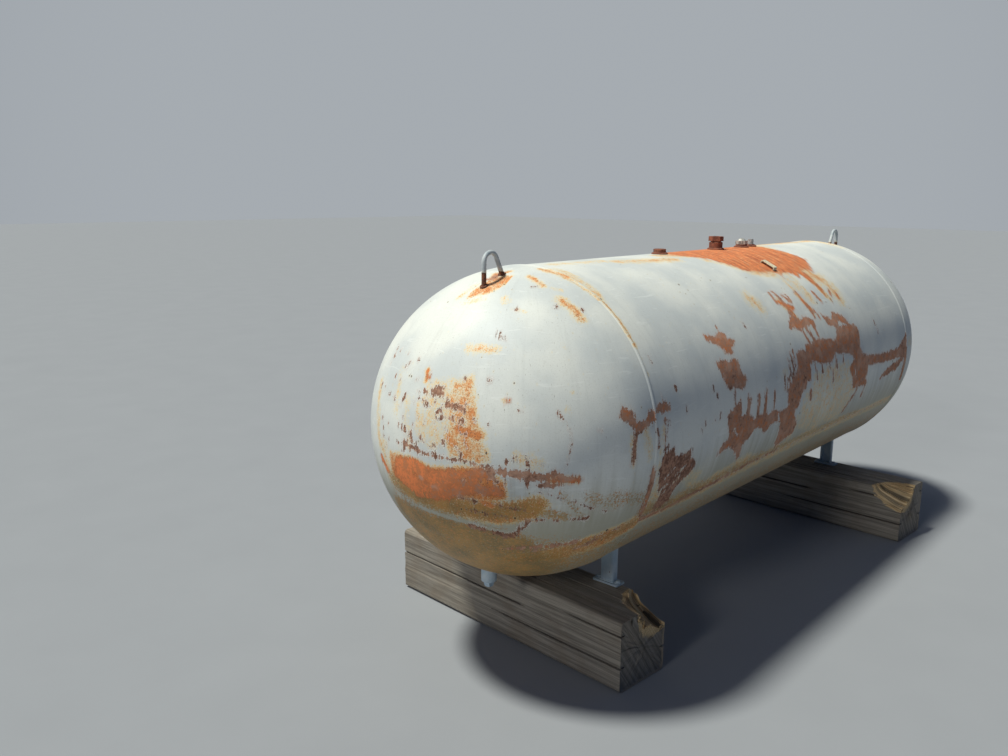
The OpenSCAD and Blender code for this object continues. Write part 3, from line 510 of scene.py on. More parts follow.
hidden_rust, hidden_stain = far_side_marks(11)
ticks = [(TICK_WIDTH, 0.0, [on_shell(x, a), on_shell(x, a + TICK_LENGTH)]) for x, a in SPOTS_ON_SHELL]
RUST_MARKS = shell_marks(RUST_ON_SHELL) + head_marks(RUST_ON_NEAR_HEAD)
RUST_MARKS += hidden_rust + ticks + head_specks(17)
STAIN_MARKS = shell_marks(STAIN_ON_SHELL) + head_marks(STAIN_ON_NEAR_HEAD) + hidden_stain
STAIN_MARKS += head_marks(STAIN_ON_FAR_HEAD, side=1)
GRIME_MARKS = head_marks(GRIME_ON_NEAR_HEAD) + shell_marks(GRIME_ON_SHELL)
KEPT_MARKS = head_marks(PAINT_KEPT_ON_HEAD) + shell_marks(PAINT_KEPT_ON_SHELL)
CLEAN_MARKS = head_marks(CLEAN_ON_NEAR_HEAD)


def laid_flat(points):
    """The vessel laid flat, in metres: along it and on round the heads, and down from the top line."""
    across, height, up = points[:, 0], points[:, 1], points[:, 2] - AXIS_HEIGHT
    down = np.arctan2(-height, up)
    past = np.abs(across) > HALF_COURSE
    down[past] = np.arccos(np.clip(up[past] / RADIUS, -1, 1))
    around = np.arctan2(-height, np.abs(across) - HALF_COURSE)
    run = across.copy()
    run[past] = np.sign(across[past]) * (HALF_COURSE + RADIUS * (math.pi / 2 - around[past]))
    return np.stack([run, down * RADIUS], axis=1)


def shell_patches(rows):
    """Patches of the course, their edges on the vessel laid flat."""
    return [(tone, [(x, RADIUS * math.radians(a)) for x, a in edge]) for tone, edge in rows]


def head_patches(rows):
    """Patches of the near head, their edges on the vessel laid flat."""
    start = -HALF_COURSE
    return [(tone, [(start - RADIUS * math.radians(90 - a), RADIUS * math.radians(d)) for a, d in edge])
            for tone, edge in rows]


BARE_PATCHES = shell_patches(BARE_ON_SHELL) + head_patches(BARE_ON_NEAR_HEAD)
SOAKED_PATCHES = shell_patches(SOAKED_ON_SHELL) + head_patches(SOAKED_ON_NEAR_HEAD)
# How far from a mark's line, in metres, its rust, its paint and its stain or dirt can still be felt
RUST_REACH = 0.075
PAINT_REACH = 0.05
STAIN_REACH = 0.16
# The belly's dirt: degrees down from the top line where it begins, and degrees over which it thickens
BELLY_STARTS = 108
BELLY_THICKENS = 26


def distance_to(points, line):
    """Distance in mm from each point to a line of one or more points."""
    best = np.full(len(points), 1e9)
    corners = [np.array(p) for p in line]
    if len(corners) == 1:
        corners = corners * 2
    for start, end in zip(corners, corners[1:]):
        run = end - start
        share = np.clip((points - start) @ run / max(run @ run, 1e-12), 0, 1)
        best = np.minimum(best, np.linalg.norm(points - start - share[:, None] * run, axis=1))
    return best * 1000


def distance_past(spots, edge):
    """Distance in mm from spots of the flat vessel to a patch's closed edge, negative inside it."""
    inside = np.zeros(len(spots), bool)
    for (x0, y0), (x1, y1) in zip(edge, edge[1:] + edge[:1]):
        spanned = (spots[:, 1] < y0) != (spots[:, 1] < y1)
        inside ^= spanned & (spots[:, 0] < x0 + (spots[:, 1] - y0) * (x1 - x0) / ((y1 - y0) or 1e-12))
    gap = distance_to(spots, edge + edge[:1])
    return np.where(inside, -gap, gap)


def near(points, line, reach):
    """The points of a mesh that may lie within reach, in metres, of a line."""
    corners = np.array(line)
    low, high = corners.min(axis=0) - reach, corners.max(axis=0) + reach
    return np.where(((points > low) & (points < high)).all(axis=1))[0]


def rust_on(points, flat):
    """How far each point is from bare rust, in mm and negative inside it, and how bright that rust is."""
    bare = np.full(len(points), 60.0)
    bright, weight = np.zeros(len(points)), np.full(len(points), 1e-6)
    marks = [(near(points, line, RUST_REACH), points, line, distance_to, width, tone)
             for width, tone, line in RUST_MARKS]
    marks += [(near(flat, edge, RUST_REACH), flat, edge, distance_past, 0, tone)
              for tone, edge in BARE_PATCHES]
    for close, places, line, measured, width, tone in marks:
        gap = measured(places[close], line) - width
        bare[close] = np.minimum(bare[close], gap)
        share = np.exp(-np.maximum(gap, 0) / 6)
        bright[close] += share * tone
        weight[close] += share
    for width, line in KEPT_MARKS:
        close = near(points, line, PAINT_REACH)
        bare[close] = np.maximum(bare[close], width - distance_to(points[close], line))
    return bare, bright / weight


def stain_on(points, flat):
    """How strong the rust stain in the paint is at each point."""
    stain = np.zeros(len(points))
    for width, strength, line in STAIN_MARKS:
        close = near(points, line, STAIN_REACH)
        added = strength * np.exp(-(distance_to(points[close], line) / (width * 1.1)) ** 2)
        stain[close] = np.maximum(stain[close], added) + 0.25 * np.minimum(stain[close], added)
    for strength, edge in SOAKED_PATCHES:
        close = near(flat, edge, RUST_REACH)
        fall = 1 / (1 + np.exp(distance_past(flat[close], edge) / 5))
        stain[close] = np.maximum(stain[close], strength * fall)
    return stain


def grime_on(points, flat):
    """How thick the dirt is at each point: along the belly, most under the near head, and in marks."""
    belly = np.clip((np.degrees(np.abs(flat[:, 1])) / RADIUS - BELLY_STARTS) / BELLY_THICKENS, 0, 1)
    grime = belly * belly * (3 - 2 * belly) * np.interp(flat[:, 0], [-1.50, -1.24], [1.0, 0.4])
    for width, strength, line in GRIME_MARKS:
        close = near(points, line, STAIN_REACH)
        fall = np.exp(-(distance_to(points[close], line) / width) ** 2)
        grime[close] = np.maximum(grime[close], strength * fall)
    return grime


def store(mesh, name, values):
    mesh.attributes.new(name, "FLOAT", "POINT").data.foreach_set("value", values.astype(np.float32))


def mark_wear(mesh):
    """Stores in a mesh on the vessel each point's rust, stain and dirt, and its place on the flat vessel."""
    points = np.empty(len(mesh.vertices) * 3)
    mesh.vertices.foreach_get("co", points)
    points = points.reshape(-1, 3)
    flat = laid_flat(points)
    bare, bright = rust_on(points, flat)
    stain = stain_on(points, flat)
    grime = grime_on(points, flat)
    for width, line in CLEAN_MARKS:
        close = near(points, line, PAINT_REACH)
        gap = distance_to(points[close], line)
        grime[close] *= 1 - np.exp(-(gap / width) ** 4)
        bare[close] = np.maximum(bare[close], width - gap)
    store(mesh, "bare", np.clip(bare, -40, 60))
    store(mesh, "bright", bright)
    store(mesh, "stain", np.clip(stain, 0, 1.2))
    store(mesh, "grime", grime)
    store(mesh, "run_across", flat[:, 0])
    store(mesh, "run_down", np.abs(flat[:, 1]))


def colour(red, green, blue):
    """A display colour from 0 to 255, as the linear colour that a shader takes."""
    shares = (red / 255, green / 255, blue / 255)
    linear = [c / 12.92 if c <= 0.04045 else ((c + 0.055) / 1.055) ** 2.4 for c in shares]
    return (*linear, 1.0)


class Layer:
    """A value or colour that varies over a finish. Sums on it are mixed by the finish's own nodes."""

    def __init__(self, finish, socket):
        self.finish = finish
        self.socket = socket

    def __add__(self, other):
        return self.finish.maths("ADD", self, other)

    def __sub__(self, other):
        return self.finish.maths("SUBTRACT", self, other)

    def __rsub__(self, other):
        return self.finish.maths("SUBTRACT", other, self)

    def __mul__(self, other):
        return self.finish.maths("MULTIPLY", self, other)


class Finish:
    """A material being mixed: each call adds one node and gives its output as a layer."""

    def __init__(self, name, roughness, metallic=0.0):
        self.material = bpy.data.materials.new(name)
        self.material.use_nodes = True
        self.tree = self.material.node_tree
        self.shader = self.tree.nodes["Principled BSDF"]
        self.shader.inputs["Roughness"].default_value = roughness
        self.shader.inputs["Metallic"].default_value = metallic
        self.place = self.add("TexCoord", {}, "Object")

    def feed(self, socket, value):
        if isinstance(value, Layer):
            self.tree.links.new(value.socket, socket)
        elif value is not None:
            socket.default_value = value

    def add(self, kind, inputs, output=0, **settings):
        node = self.tree.nodes.new("ShaderNode" + kind)
        for name, setting in settings.items():
            setattr(node, name, setting)
        for socket, value in inputs.items():
            self.feed(node.inputs[socket], value)
        return Layer(self, node.outputs[output])

    def stored(self, name):
        return self.add("Attribute", {}, "Fac", attribute_name=name)

    def maths(self, how, first, second):
        return self.add("Math", {0: first, 1: second}, operation=how)

    def point(self, x, y):
        return self.add("CombineXYZ", {0: x, 1: y})

    def height(self):
        return self.add("SeparateXYZ", {0: self.place}, 2)

    def stretched(self, sizes, at=None):
        return self.add("Mapping", {"Vector": at or self.place, "Scale": sizes})

    def noise(self, scale, detail=4.0, harsh=0.55, at=None, warp=0.0):
        shape = {"Scale": scale, "Detail": detail, "Roughness": harsh, "Distortion": warp}
        return self.add("TexNoise", {"Vector": at or self.place, **shape}, "Fac")

    def cells(self, scale, at=None, what="Distance"):
        return self.add("TexVoronoi", {"Vector": at or self.place, "Scale": scale}, what)

    def grey(self, tint):
        return self.add("RGBToBW", {0: tint})

    def step(self, value, start, end, low=0.0, high=1.0):
        levels = {0: value, 1: start, 2: end, 3: low, 4: high}
        return self.add("MapRange", levels, interpolation_type="SMOOTHSTEP")

    def mix(self, share, first, second):
        return self.add("Mix", {0: share, 6: first, 7: second}, 2, data_type="RGBA")

    def done(self, tint, rough=None, height=None, depth=0.001, strength=1.0):
        self.feed(self.shader.inputs["Base Color"], tint)
        self.feed(self.shader.inputs["Roughness"], rough)
        if height is not None:
            bump = self.add("Bump", {"Strength": strength, "Distance": depth, "Height": height})
            self.feed(self.shader.inputs["Normal"], bump)
        return self.material


PAINT_WHITE = colour(216, 218, 212)
PAINT_GREY = colour(196, 201, 200)
PAINT_SHADED = colour(168, 171, 168)
PAINT_YELLOWED = colour(186, 184, 172)
PAINT_GRITTY = colour(168, 166, 158)
PAINT_RUBBED = colour(232, 234, 230)
PAINT_LIP_HIGHLIGHT = colour(232, 233, 228)
PAINT_LOW_DIRT_AND_SHADE = colour(150, 144, 118)
FLECK_BROWN = colour(112, 98, 86)
STAIN_YELLOW = colour(228, 204, 146)
STAIN_ORANGE = colour(208, 126, 62)
RUST_DARK = colour(118, 82, 66)
RUST_BROWN = colour(174, 130, 106)
RUST_FIELD = colour(196, 122, 78)
RUST_BRIGHT = colour(226, 132, 80)
RUST_RED = colour(146, 82, 58)
RUST_PALE = colour(230, 178, 130)
RUST_WORN = colour(196, 158, 136)
RUST_BLOT = colour(160, 96, 62)
DIRT_OLIVE = colour(124, 106, 66)
DIRT_OCHRE = colour(184, 138, 70)
DIRT_DRY = colour(204, 192, 150)
DIRT_DARK = colour(92, 62, 44)
SPECK_BROWN = colour(62, 42, 36)


def plate_grain(look):
    """The noises that the old paint, its stains and its rust share, and the wear stored in the mesh."""
    run = look.point(look.stored("run_across"), look.stored("run_down"))
    bright = look.stored("bright")
    return SimpleNamespace(
        run=run,
        coarse=look.noise(42, 5, 0.62),
        mottle=look.noise(130, 5, 0.65),
        fine=look.noise(210, 5, 0.62),
        grit=look.noise(280, 3, 0.6),
        drips=look.noise(1.0, 4, 0.6, at=look.stretched((130, 12, 1), run)),
        rain=look.noise(1.0, 3, 0.55, at=look.stretched((60, 3, 1), run)),
        streaks=look.noise(1.0, 4, 0.68, at=look.stretched((75, 9, 1), run)),
        bright=bright,
        sheet=look.step(bright, 0.9, 0.97),
        stain=look.stored("stain"),
    )


def broken_edge(look, grain):
    """The paint's broken edge: distance past it in mm, and how far each point is rust and not paint."""
    bare = look.stored("bare")
    ragged = (grain.coarse - 0.5) * 32.0
    nibbled = (grain.fine - 0.5) * 26.0
    toothed = (grain.drips - 0.5) * (grain.sheet * 60.0 + 34.0)
    edge = bare - 1.0 + (ragged + (nibbled + toothed))
    scrapes = look.noise(1.0, 5, 0.72, at=look.stretched((160, 40, 1), grain.run), warp=0.6)
    scraps = look.step(scrapes, 0.60, 0.66) * look.step(bare, -26.0, -2.0)
    return edge, look.step(edge, 0.8, -0.8) * (1.0 - scraps * 0.8)


def chalked_paint(look, grain):
    """White paint gone chalky, with soft rain marks, fine dark flecks, scuffs, and a darker tan tint low down
    that is partly dirt and partly painted shade.
    """
    paint = look.mix(look.step(look.noise(5, 3, 0.5), 0.35, 0.65), PAINT_WHITE, PAINT_GREY)
    paint = look.mix(look.step(grain.rain, 0.52, 0.72) * 0.12, paint, PAINT_SHADED)
    paint = look.mix(look.step(grain.coarse, 0.55, 0.75) * 0.18, paint, PAINT_YELLOWED)
    flecks = look.noise(1.0, 3, 0.6, at=look.stretched((330, 75, 1), grain.run))
    flecks = look.step(flecks, 0.66, 0.72) * look.step(look.noise(3.5, 3, 0.6), 0.42, 0.58)
    paint = look.mix(flecks * 0.75, paint, FLECK_BROWN)
    paint = look.mix(look.step(grain.grit, 0.5, 0.7) * 0.22, paint, PAINT_GRITTY)
    scuffs = look.noise(1.0, 3, 0.5, at=look.stretched((9, 60, 1), grain.run), warp=1.2)
    paint = look.mix(look.step(scuffs, 0.62, 0.7) * 0.3, paint, PAINT_RUBBED)
    # darker and tan towards the bottom of the course and heads: partly dirt, partly painted shade on the
    # underside
    low = look.stored("run_down") * 5.0 + grain.rain * 0.8
    return look.mix(look.step(low, 4.2, 5.2) * 0.72, paint, PAINT_LOW_DIRT_AND_SHADE)


def stained_paint(look, grain, paint, edge, lip):
    """Grainy yellow that deepens to orange, a halo round the rust, a lifted lip round it painted lighter as a
    painted highlight, and brown grains.
    """
    uneven = grain.fine - 0.5 + (grain.coarse - 0.5)
    uneven = uneven + (grain.grit - 0.5) * 0.9 + (grain.streaks - 0.5) * 0.7
    soaked = look.step(grain.stain + uneven, 0.08, 0.65) * look.step(grain.stain, 0.02, 0.22)
    dense = look.step(grain.stain + uneven * 1.4, 0.3, 0.9, 0.55, 0.97)
    stain_tint = look.mix(look.step(grain.stain + uneven, 0.4, 1.0), STAIN_YELLOW, STAIN_ORANGE)
    paint = look.mix(soaked * dense, paint, stain_tint)
    halo = look.step(edge, 12.0, 0.0) * look.step(grain.fine, 0.38, 0.62)
    paint = look.mix(halo * look.step(grain.bright, 0.15, 0.6, 0.22, 0.55), paint, STAIN_ORANGE)
    # the lifted lip round the rust is painted lighter: a painted highlight on the curled paint edge
    paint = look.mix(lip * look.step(grain.bright, 0.6, 0.3, 0.0, 0.6), paint, PAINT_LIP_HIGHLIGHT)
    grains = look.step(grain.grit + grain.stain * 0.1, 0.64, 0.72) * look.step(grain.stain, 0.25, 0.6)
    return look.mix(grains * 0.75, paint, RUST_DARK)


def dirty_paint(look, grain, paint):
    """Olive and ochre dirt that has dried on the low parts, mottled, gritty and rusty in places."""
    grime = look.stored("grime")
    dirt = grime * 1.5 + (grain.fine + grain.mottle - 1.0) * 1.8
    dirt = look.step(dirt, 0.25, 0.85) * look.step(grime, 0.03, 0.3)
    soil = look.step((grain.mottle + grain.grit) * 0.5 + look.noise(14, 4, 0.6) * 0.6, 0.62, 0.98)
    soil = look.mix(soil, DIRT_OLIVE, DIRT_OCHRE)
    soil = look.mix(look.step(grain.mottle + grain.fine * 0.6, 0.86, 1.0) * 0.8, soil, RUST_FIELD)
    soil = look.mix(look.step(grain.grit, 0.42, 0.32) * 0.5, soil, DIRT_DRY)
    soil = look.mix(look.step(grain.grit, 0.6, 0.7) * 0.6, soil, DIRT_DARK)
    return look.mix(dirt * 0.92, paint, soil)


def streaked_rust(look, grain, edge):
    """Bare rust, brown to orange, streaked down the plate and darker along its broken edge."""
    bright = grain.bright - grain.sheet * 0.2 + (grain.mottle - 0.5) * 1.3 + (grain.coarse - 0.5) * 1.3
    bright = bright + (grain.streaks - 0.5) * grain.sheet * 2.0
    rust = look.mix(look.step(bright, -0.05, 0.28), RUST_DARK, RUST_BROWN)
    rust = look.mix(look.step(bright, 0.3, 0.6), rust, RUST_FIELD)
    rust = look.mix(look.step(bright, 0.6, 0.95), rust, RUST_BRIGHT)
    rust = look.mix(look.step(grain.grit, 0.57, 0.72) * 0.35, rust, RUST_DARK)
    rust = look.mix(look.step(edge, -3.0, -0.4) * 0.5, rust, RUST_DARK)
    rust = look.mix(look.step(grain.streaks, 0.48, 0.6) * grain.sheet * 0.8, rust, RUST_RED)
    rust = look.mix(look.step(grain.streaks, 0.42, 0.34) * grain.sheet * 0.7, rust, RUST_PALE)
    worn_pale = look.step(look.noise(24, 4, 0.6), 0.47, 0.62) * (0.6 - grain.sheet * 0.5)
    old_rust = look.step(grain.bright, 0.7, 0.45) * look.step(grain.bright, 0.08, 0.2, 0.3, 1.0)
    rust = look.mix(worn_pale * old_rust, rust, RUST_WORN)
    blots = look.step(look.noise(19, 4, 0.6), 0.54, 0.66) * look.step(grain.bright, 0.6, 0.75)
    rust = look.mix(blots * (1.0 - grain.sheet) * 0.6, rust, RUST_BLOT)
    pale_grains = look.step(grain.grit, 0.44, 0.36) * look.step(grain.coarse, 0.5, 0.62)
    return look.mix(pale_grains * grain.sheet * 0.7, rust, STAIN_YELLOW)


def aged_paint(name):
    """White paint over plate, flaked, stained and dirty where mark_wear has said so."""
    look = Finish(name, 0.55)
    look.shader.inputs["Specular IOR Level"].default_value = 0.35
    grain = plate_grain(look)
    edge, rusted = broken_edge(look, grain)
    lip = look.step(edge, 0.6, 1.4) * look.step(edge, 4.5, 3.0)
    paint = stained_paint(look, grain, chalked_paint(look, grain), edge, lip)
    paint = dirty_paint(look, grain, paint)
    # pores where rust has begun
    pore_size = look.step(look.noise(9, 2, 0.5), 0.5, 0.75) * 0.13 + grain.stain * 0.08
    pores = look.cells(38, at=look.stretched((1, 1, 0.6))) - pore_size
    pore = look.step(pores, 0.03, 0.0)
    paint = look.mix(look.step(pores, 0.16, 0.0) * 0.22, paint, STAIN_YELLOW)
    paint = look.mix(pore * 0.85, paint, SPECK_BROWN)
    tint = look.mix(rusted, paint, streaked_rust(look, grain, edge))
    rough = look.step(rusted, 0.0, 1.0, 0.52, 0.9)
    height = rusted * -0.35 + rusted * grain.mottle * 0.5 + pore * -0.3 + lip * 0.4 + grain.fine * 0.05
    return look.done(tint, rough, height, depth=0.0012, strength=0.8)


def finished(name, mesh, material, slot, *nodes):
    """Puts a mesh in the scene as a piece that rides on the tank and stands for the named nodes."""
    mesh.validate()
    piece = bpy.data.objects.new(name, mesh)
    bpy.context.collection.objects.link(piece)
    mesh.materials.clear()
    mesh.materials.append(material)
    mesh.polygons.foreach_set("use_smooth", [True] * len(mesh.polygons))
    mesh.set_sharp_from_angle(angle=math.radians(40))
    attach(piece, "root")
    if nodes:
        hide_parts(*nodes)


def woven_mesh(name, points, faces):
    mesh = bpy.data.meshes.new(name)
    mesh.from_pydata([tuple(p) for p in points], [], faces)
    mesh.update()
    return mesh


def face_outwards(mesh):
    work = bmesh.new()
    work.from_mesh(mesh)
    bmesh.ops.recalc_face_normals(work, faces=work.faces)
    work.to_mesh(mesh)
    work.free()
    mesh.update()


def tube_faces(count, ring, closed=False):
    """The faces of a tube whose points are laid ring after ring, run round to its start when closed."""
    faces = []
    for i in range(count if closed else count - 1):
        for j in range(ring):
            k, n = (j + 1) % ring, (i + 1) % count
            faces.append((i * ring + j, i * ring + k, n * ring + k, n * ring + j))
    return faces


def joined(first, second):
    """The faces between two rings, each given as the numbers of its points."""
    return list(zip(first, second, second[1:] + second[:1], first[1:] + first[:1]))


# The plate's ripple: it is never quite true, and each point lies up to this far inside the true surface
WAVINESS = 0.0007
# The course's grid, closest where the wear shows most: for each stretch its start, its end and how many
# columns it has round the course, in degrees, or how many rows along it, in metres
COURSE_COLUMNS = [(-30, 38, 52), (38, 122, 135), (122, 146, 20), (146, 330, 96)]
COURSE_ROWS = [(-HALF_COURSE, 0.6, 268), (0.6, HALF_COURSE, 42)]
HEAD_CELLS = {-1: 280, 1: 130}
HEAD_INNER_RINGS = 7
# x and radius of the holes that the two larger couplings are let in to
COUPLING_HOLES = [(-0.290, 0.0228), (0.120, 0.0263)]


def dented(points, centres):
    """Rippled plate: each point goes a little way in towards its centre."""
    x, y, z = points[:, 0], points[:, 1], points[:, 2]
    swell = (np.sin(x * 5.1 + 1.0) * np.sin(z * 6.3 + y * 4.7)
             + 0.6 * np.sin(x * 13.7 + y * 11.3) * np.sin(z * 12.1 + 0.7))
    inward = WAVINESS * (1 + swell / 1.6) / 2
    away = points - centres
    return centres + away * (1 - inward / np.linalg.norm(away, axis=1))[:, None]


def course_mesh():
    """The rolled course: a closed plate ring."""
    columns = [np.linspace(start, end, number, endpoint=False) for start, end, number in COURSE_COLUMNS]
    angles = np.radians(np.concatenate(columns))
    stations = np.concatenate([np.linspace(start, end, number, endpoint=end == HALF_COURSE)
                               for start, end, number in COURSE_ROWS])
    spread_x, spread_a = np.meshgrid(stations, angles, indexing="ij")
    outer = [spread_x, -RADIUS * np.sin(spread_a), AXIS_HEIGHT + RADIUS * np.cos(spread_a)]
    outer = np.stack(outer, axis=-1).reshape(-1, 3)
    centres = outer.copy()
    centres[:, 1], centres[:, 2] = 0, AXIS_HEIGHT
    outer = dented(outer, centres)
    inside = RADIUS - SHELL_PLATE
    inner = [(x, -inside * math.sin(a), AXIS_HEIGHT + inside * math.cos(a))
             for x in (-HALF_COURSE, HALF_COURSE) for a in angles]
    ring = len(angles)
    faces = tube_faces(len(stations), ring)
    base, last = len(stations) * ring, (len(stations) - 1) * ring
    for j in range(ring):
        k = (j + 1) % ring
        faces.append((base + j, base + ring + j, base + ring + k, base + k))
        faces.append((j, base + j, base + k, k))
        faces.append((last + j, last + k, base + ring + k, base + ring + j))
    mesh = woven_mesh("shell_skin", np.concatenate([outer, np.array(inner)]), faces)
    face_outwards(mesh)
    return mesh


def half_ball(side, cells):
    """The outer face of a head: a square grid laid round over the half ball."""
    span = np.linspace(-1, 1, cells + 1)
    a, b = np.meshgrid(span, span, indexing="ij")
    bigger = np.abs(a) >= np.abs(b)
    safe_a, safe_b = np.where(a == 0, 1, a), np.where(b == 0, 1, b)
    reach = np.where(bigger, a, b)
    turned = np.where(bigger, math.pi / 4 * b / safe_a, math.pi / 2 - math.pi / 4 * a / safe_b)
    u, v = reach * np.cos(turned), reach * np.sin(turned)
    out = np.clip(np.hypot(u, v), 0, 1)
    tilt = 2 * np.arcsin(out / math.sqrt(2))
    scale = np.where(out > 0, np.sin(tilt) / np.where(out > 0, out, 1), math.sqrt(2))
    x = side * (HALF_COURSE + RADIUS * np.cos(tilt))
    outer = np.stack([x, RADIUS * u * scale, AXIS_HEIGHT + RADIUS * v * scale], axis=-1).reshape(-1, 3)
    centre = np.array([side * HALF_COURSE, 0, AXIS_HEIGHT])
    return dented(outer, np.tile(centre, (len(outer), 1)))


def head_mesh(side):
    """A hemispherical head, closed by a plainer inner face."""
    cells = HEAD_CELLS[side]
    outer = half_ball(side, cells)
    row = cells + 1
    faces = [(i * row + j, (i + 1) * row + j, (i + 1) * row + j + 1, i * row + j + 1)
             for i in range(cells) for j in range(cells)]
    rim = [j for j in range(row)] + [i * row + cells for i in range(1, row)]
    rim += [cells * row + j for j in range(cells - 1, -1, -1)]
    rim += [i * row for i in range(cells - 1, 0, -1)]
    points = [tuple(p) for p in outer]
    inside = (RADIUS - HEAD_PLATE) / RADIUS
    previous = rim
    for level in range(HEAD_INNER_RINGS):
        share = level / HEAD_INNER_RINGS * math.pi / 2
        x = side * (HALF_COURSE + math.sin(share) * inside * RADIUS)
        current = list(range(len(points), len(points) + len(rim)))
        for index in rim:
            across, up = outer[index][1], outer[index][2] - AXIS_HEIGHT
            flat = math.cos(share) * inside * RADIUS / math.hypot(across, up)
            points.append((x, across * flat, AXIS_HEIGHT + up * flat))
        faces += joined(previous, current)
        previous = current
    tip = len(points)
    points.append((side * (HALF_COURSE + inside * RADIUS), 0, AXIS_HEIGHT))
    faces += [(start, tip, end) for start, end in zip(previous, previous[1:] + previous[:1])]
    mesh = woven_mesh("head_skin", points, faces)
    face_outwards(mesh)
    return mesh


def bored(mesh, holes):
    """Cuts round holes for the top couplings through a plate: each (x, radius)."""
    plate = bpy.data.objects.new("plate", mesh)
    bpy.context.collection.objects.link(plate)
    for x, radius in holes:
        cutter_mesh = bpy.data.meshes.new("cutter")
        work = bmesh.new()
        at = Matrix.Translation((x, 0, AXIS_HEIGHT + RADIUS))
        bmesh.ops.create_cone(work, cap_ends=True, segments=48, radius1=radius, radius2=radius,
                              depth=0.08, matrix=at)
        work.to_mesh(cutter_mesh)
        work.free()
        cutter = bpy.data.objects.new("cutter", cutter_mesh)
        bpy.context.collection.objects.link(cutter)
        cut = plate.modifiers.new("cut", "BOOLEAN")
        cut.operation = "DIFFERENCE"
        cut.solver = "MANIFOLD"
        cut.object = cutter
        worked = plate.evaluated_get(bpy.context.evaluated_depsgraph_get())
        result = bpy.data.meshes.new_from_object(worked)
        plate.modifiers.clear()
        plate.data = result
        bpy.data.objects.remove(cutter)
    result = plate.data
    bpy.data.objects.remove(plate)
    return result


tank_paint = aged_paint("aged_white_paint")
shell_plate = bored(course_mesh(), COUPLING_HOLES)
mark_wear(shell_plate)
finished("shell_skin", shell_plate, tank_paint, "tank_paint", "shell")
for label, side in ENDS:
    head_plate = head_mesh(side)
    mark_wear(head_plate)
    finished("head_" + label + "_skin", head_plate, tank_paint, "tank_paint", "head_" + label)


# The welds of the vessel
# Two girth beads and one long seam low on the camera's side, laid by machine, painted with the plate.
# Each is a low rounded bead with a fine ripple, and the rust follows it.
GIRTH_WIDTH, GIRTH_HEIGHT = 0.016, 0.0025
GIRTH_STATIONS = {-1: 1500, 1: 900}
SEAM_WIDTH, SEAM_HEIGHT, SEAM_ANGLE = 0.013, 0.0020, 117.5
SEAM_STATIONS = 1100
SEAM_SHORT_OF_GIRTH = 0.007
RIPPLE_PITCH, RIPPLE_RISE = 0.0065, 0.00022
BEAD_ROWS = 9
BEAD_EDGE_SUNK = 0.0004
BEAD_FOOT_SUNK = 0.003


def run_along(path):
    """The length run so far at each point of a path."""
    return np.concatenate([[0], np.cumsum(np.linalg.norm(np.diff(path, axis=0), axis=1))])


def bead_mesh(name, rows, closed):
    """A weld bead from the lines that run along it, with its ends capped unless it is closed."""
    section, count = len(rows), len(rows[0])
    faces = tube_faces(count, section, closed)
    if not closed:
        faces.append(tuple(range(section)))
        faces.append(tuple((count - 1) * section + j for j in reversed(range(section))))
    mesh = woven_mesh(name, np.stack(rows, axis=1).reshape(-1, 3), faces)
    face_outwards(mesh)
    return mesh


def flat_bead(name, stations, outward, along, width, height, closed):
    """A low weld bead on the surface through the stations, its foot let in to the plate."""
    stations, outward, along = np.array(stations), np.array(outward), np.array(along)
    sideways = np.cross(along, outward)
    length = run_along(stations)
    rows = []
    for share in np.linspace(-1, 1, BEAD_ROWS):
        crown = 1 - share * share
        turns = length / RIPPLE_PITCH + 0.35 * share * share
        ripple = RIPPLE_RISE * np.cos(2 * math.pi * turns) * crown
        rise = (height - RIPPLE_RISE) * crown - BEAD_EDGE_SUNK + ripple
        rows.append(stations + sideways * (share * width / 2) + outward * rise[:, None])
    for share in (1, -1):
        rows.append(stations + sideways * (share * width / 2 * 0.8) - outward * BEAD_FOOT_SUNK)
    return bead_mesh(name, rows, closed)


for label, side in ENDS:
    turns = np.linspace(0, 2 * math.pi, GIRTH_STATIONS[side], endpoint=False)
    outward = [(0, -math.sin(t), math.cos(t)) for t in turns]
    places = [(side * HALF_COURSE, RADIUS * y, AXIS_HEIGHT + RADIUS * z) for _, y, z in outward]
    along = [(0, -math.cos(t), -math.sin(t)) for t in turns]
    name = "girth_bead_" + label
    bead = flat_bead(name, places, outward, along, GIRTH_WIDTH, GIRTH_HEIGHT, True)
    mark_wear(bead)
    finished(name, bead, tank_paint, "weld_paint", "girth_weld_" + label)

seam_end = HALF_COURSE - SEAM_SHORT_OF_GIRTH
places = [on_shell(x, SEAM_ANGLE) for x in np.linspace(-seam_end, seam_end, SEAM_STATIONS)]
outward = [(0, y / RADIUS, (z - AXIS_HEIGHT) / RADIUS) for _, y, z in places]
along = [(1, 0, 0)] * len(places)
bead = flat_bead("long_seam_bead", places, outward, along, SEAM_WIDTH, SEAM_HEIGHT, False)
mark_wear(bead)
finished("long_seam_bead", bead, tank_paint, "weld_paint", "long_seam_weld")


# The four legs and their foot plates
# Strip bent to a channel, coped to the shell and fillet-welded to it, on a flat plate with two lag
# screws into the sleeper. Brushed with a pale blue-grey paint that has kept better than the white.
LEG_FACE = {-1: -0.850, 1: 0.930}
LEG_SIDE, LEG_WIDTH, LEG_DEPTH, LEG_BEND = 0.200, 0.050, 0.025, 0.008
LEG_BEAD, LEG_BEAD_SUNK = 0.0034, 0.0008
FOOT_BEAD, FOOT_BEAD_LIFT = 0.0026, 0.0004
FILLET_SIDES = 12
FOOT_TOP = 0.236
SCREW_REACH = 0.0365
SCREW_SIDES = 36
SCREW_SUNK = 0.0001
# Radius and height of each ring of the washer and of the hexagon head
WASHER_RINGS = [(0.0105, 0.0), (0.0105, 0.0014), (0.0100, 0.0017)]
HEXAGON_RINGS = [(0.0073, 0.0017), (0.0073, 0.0062), (0.0060, 0.0072)]


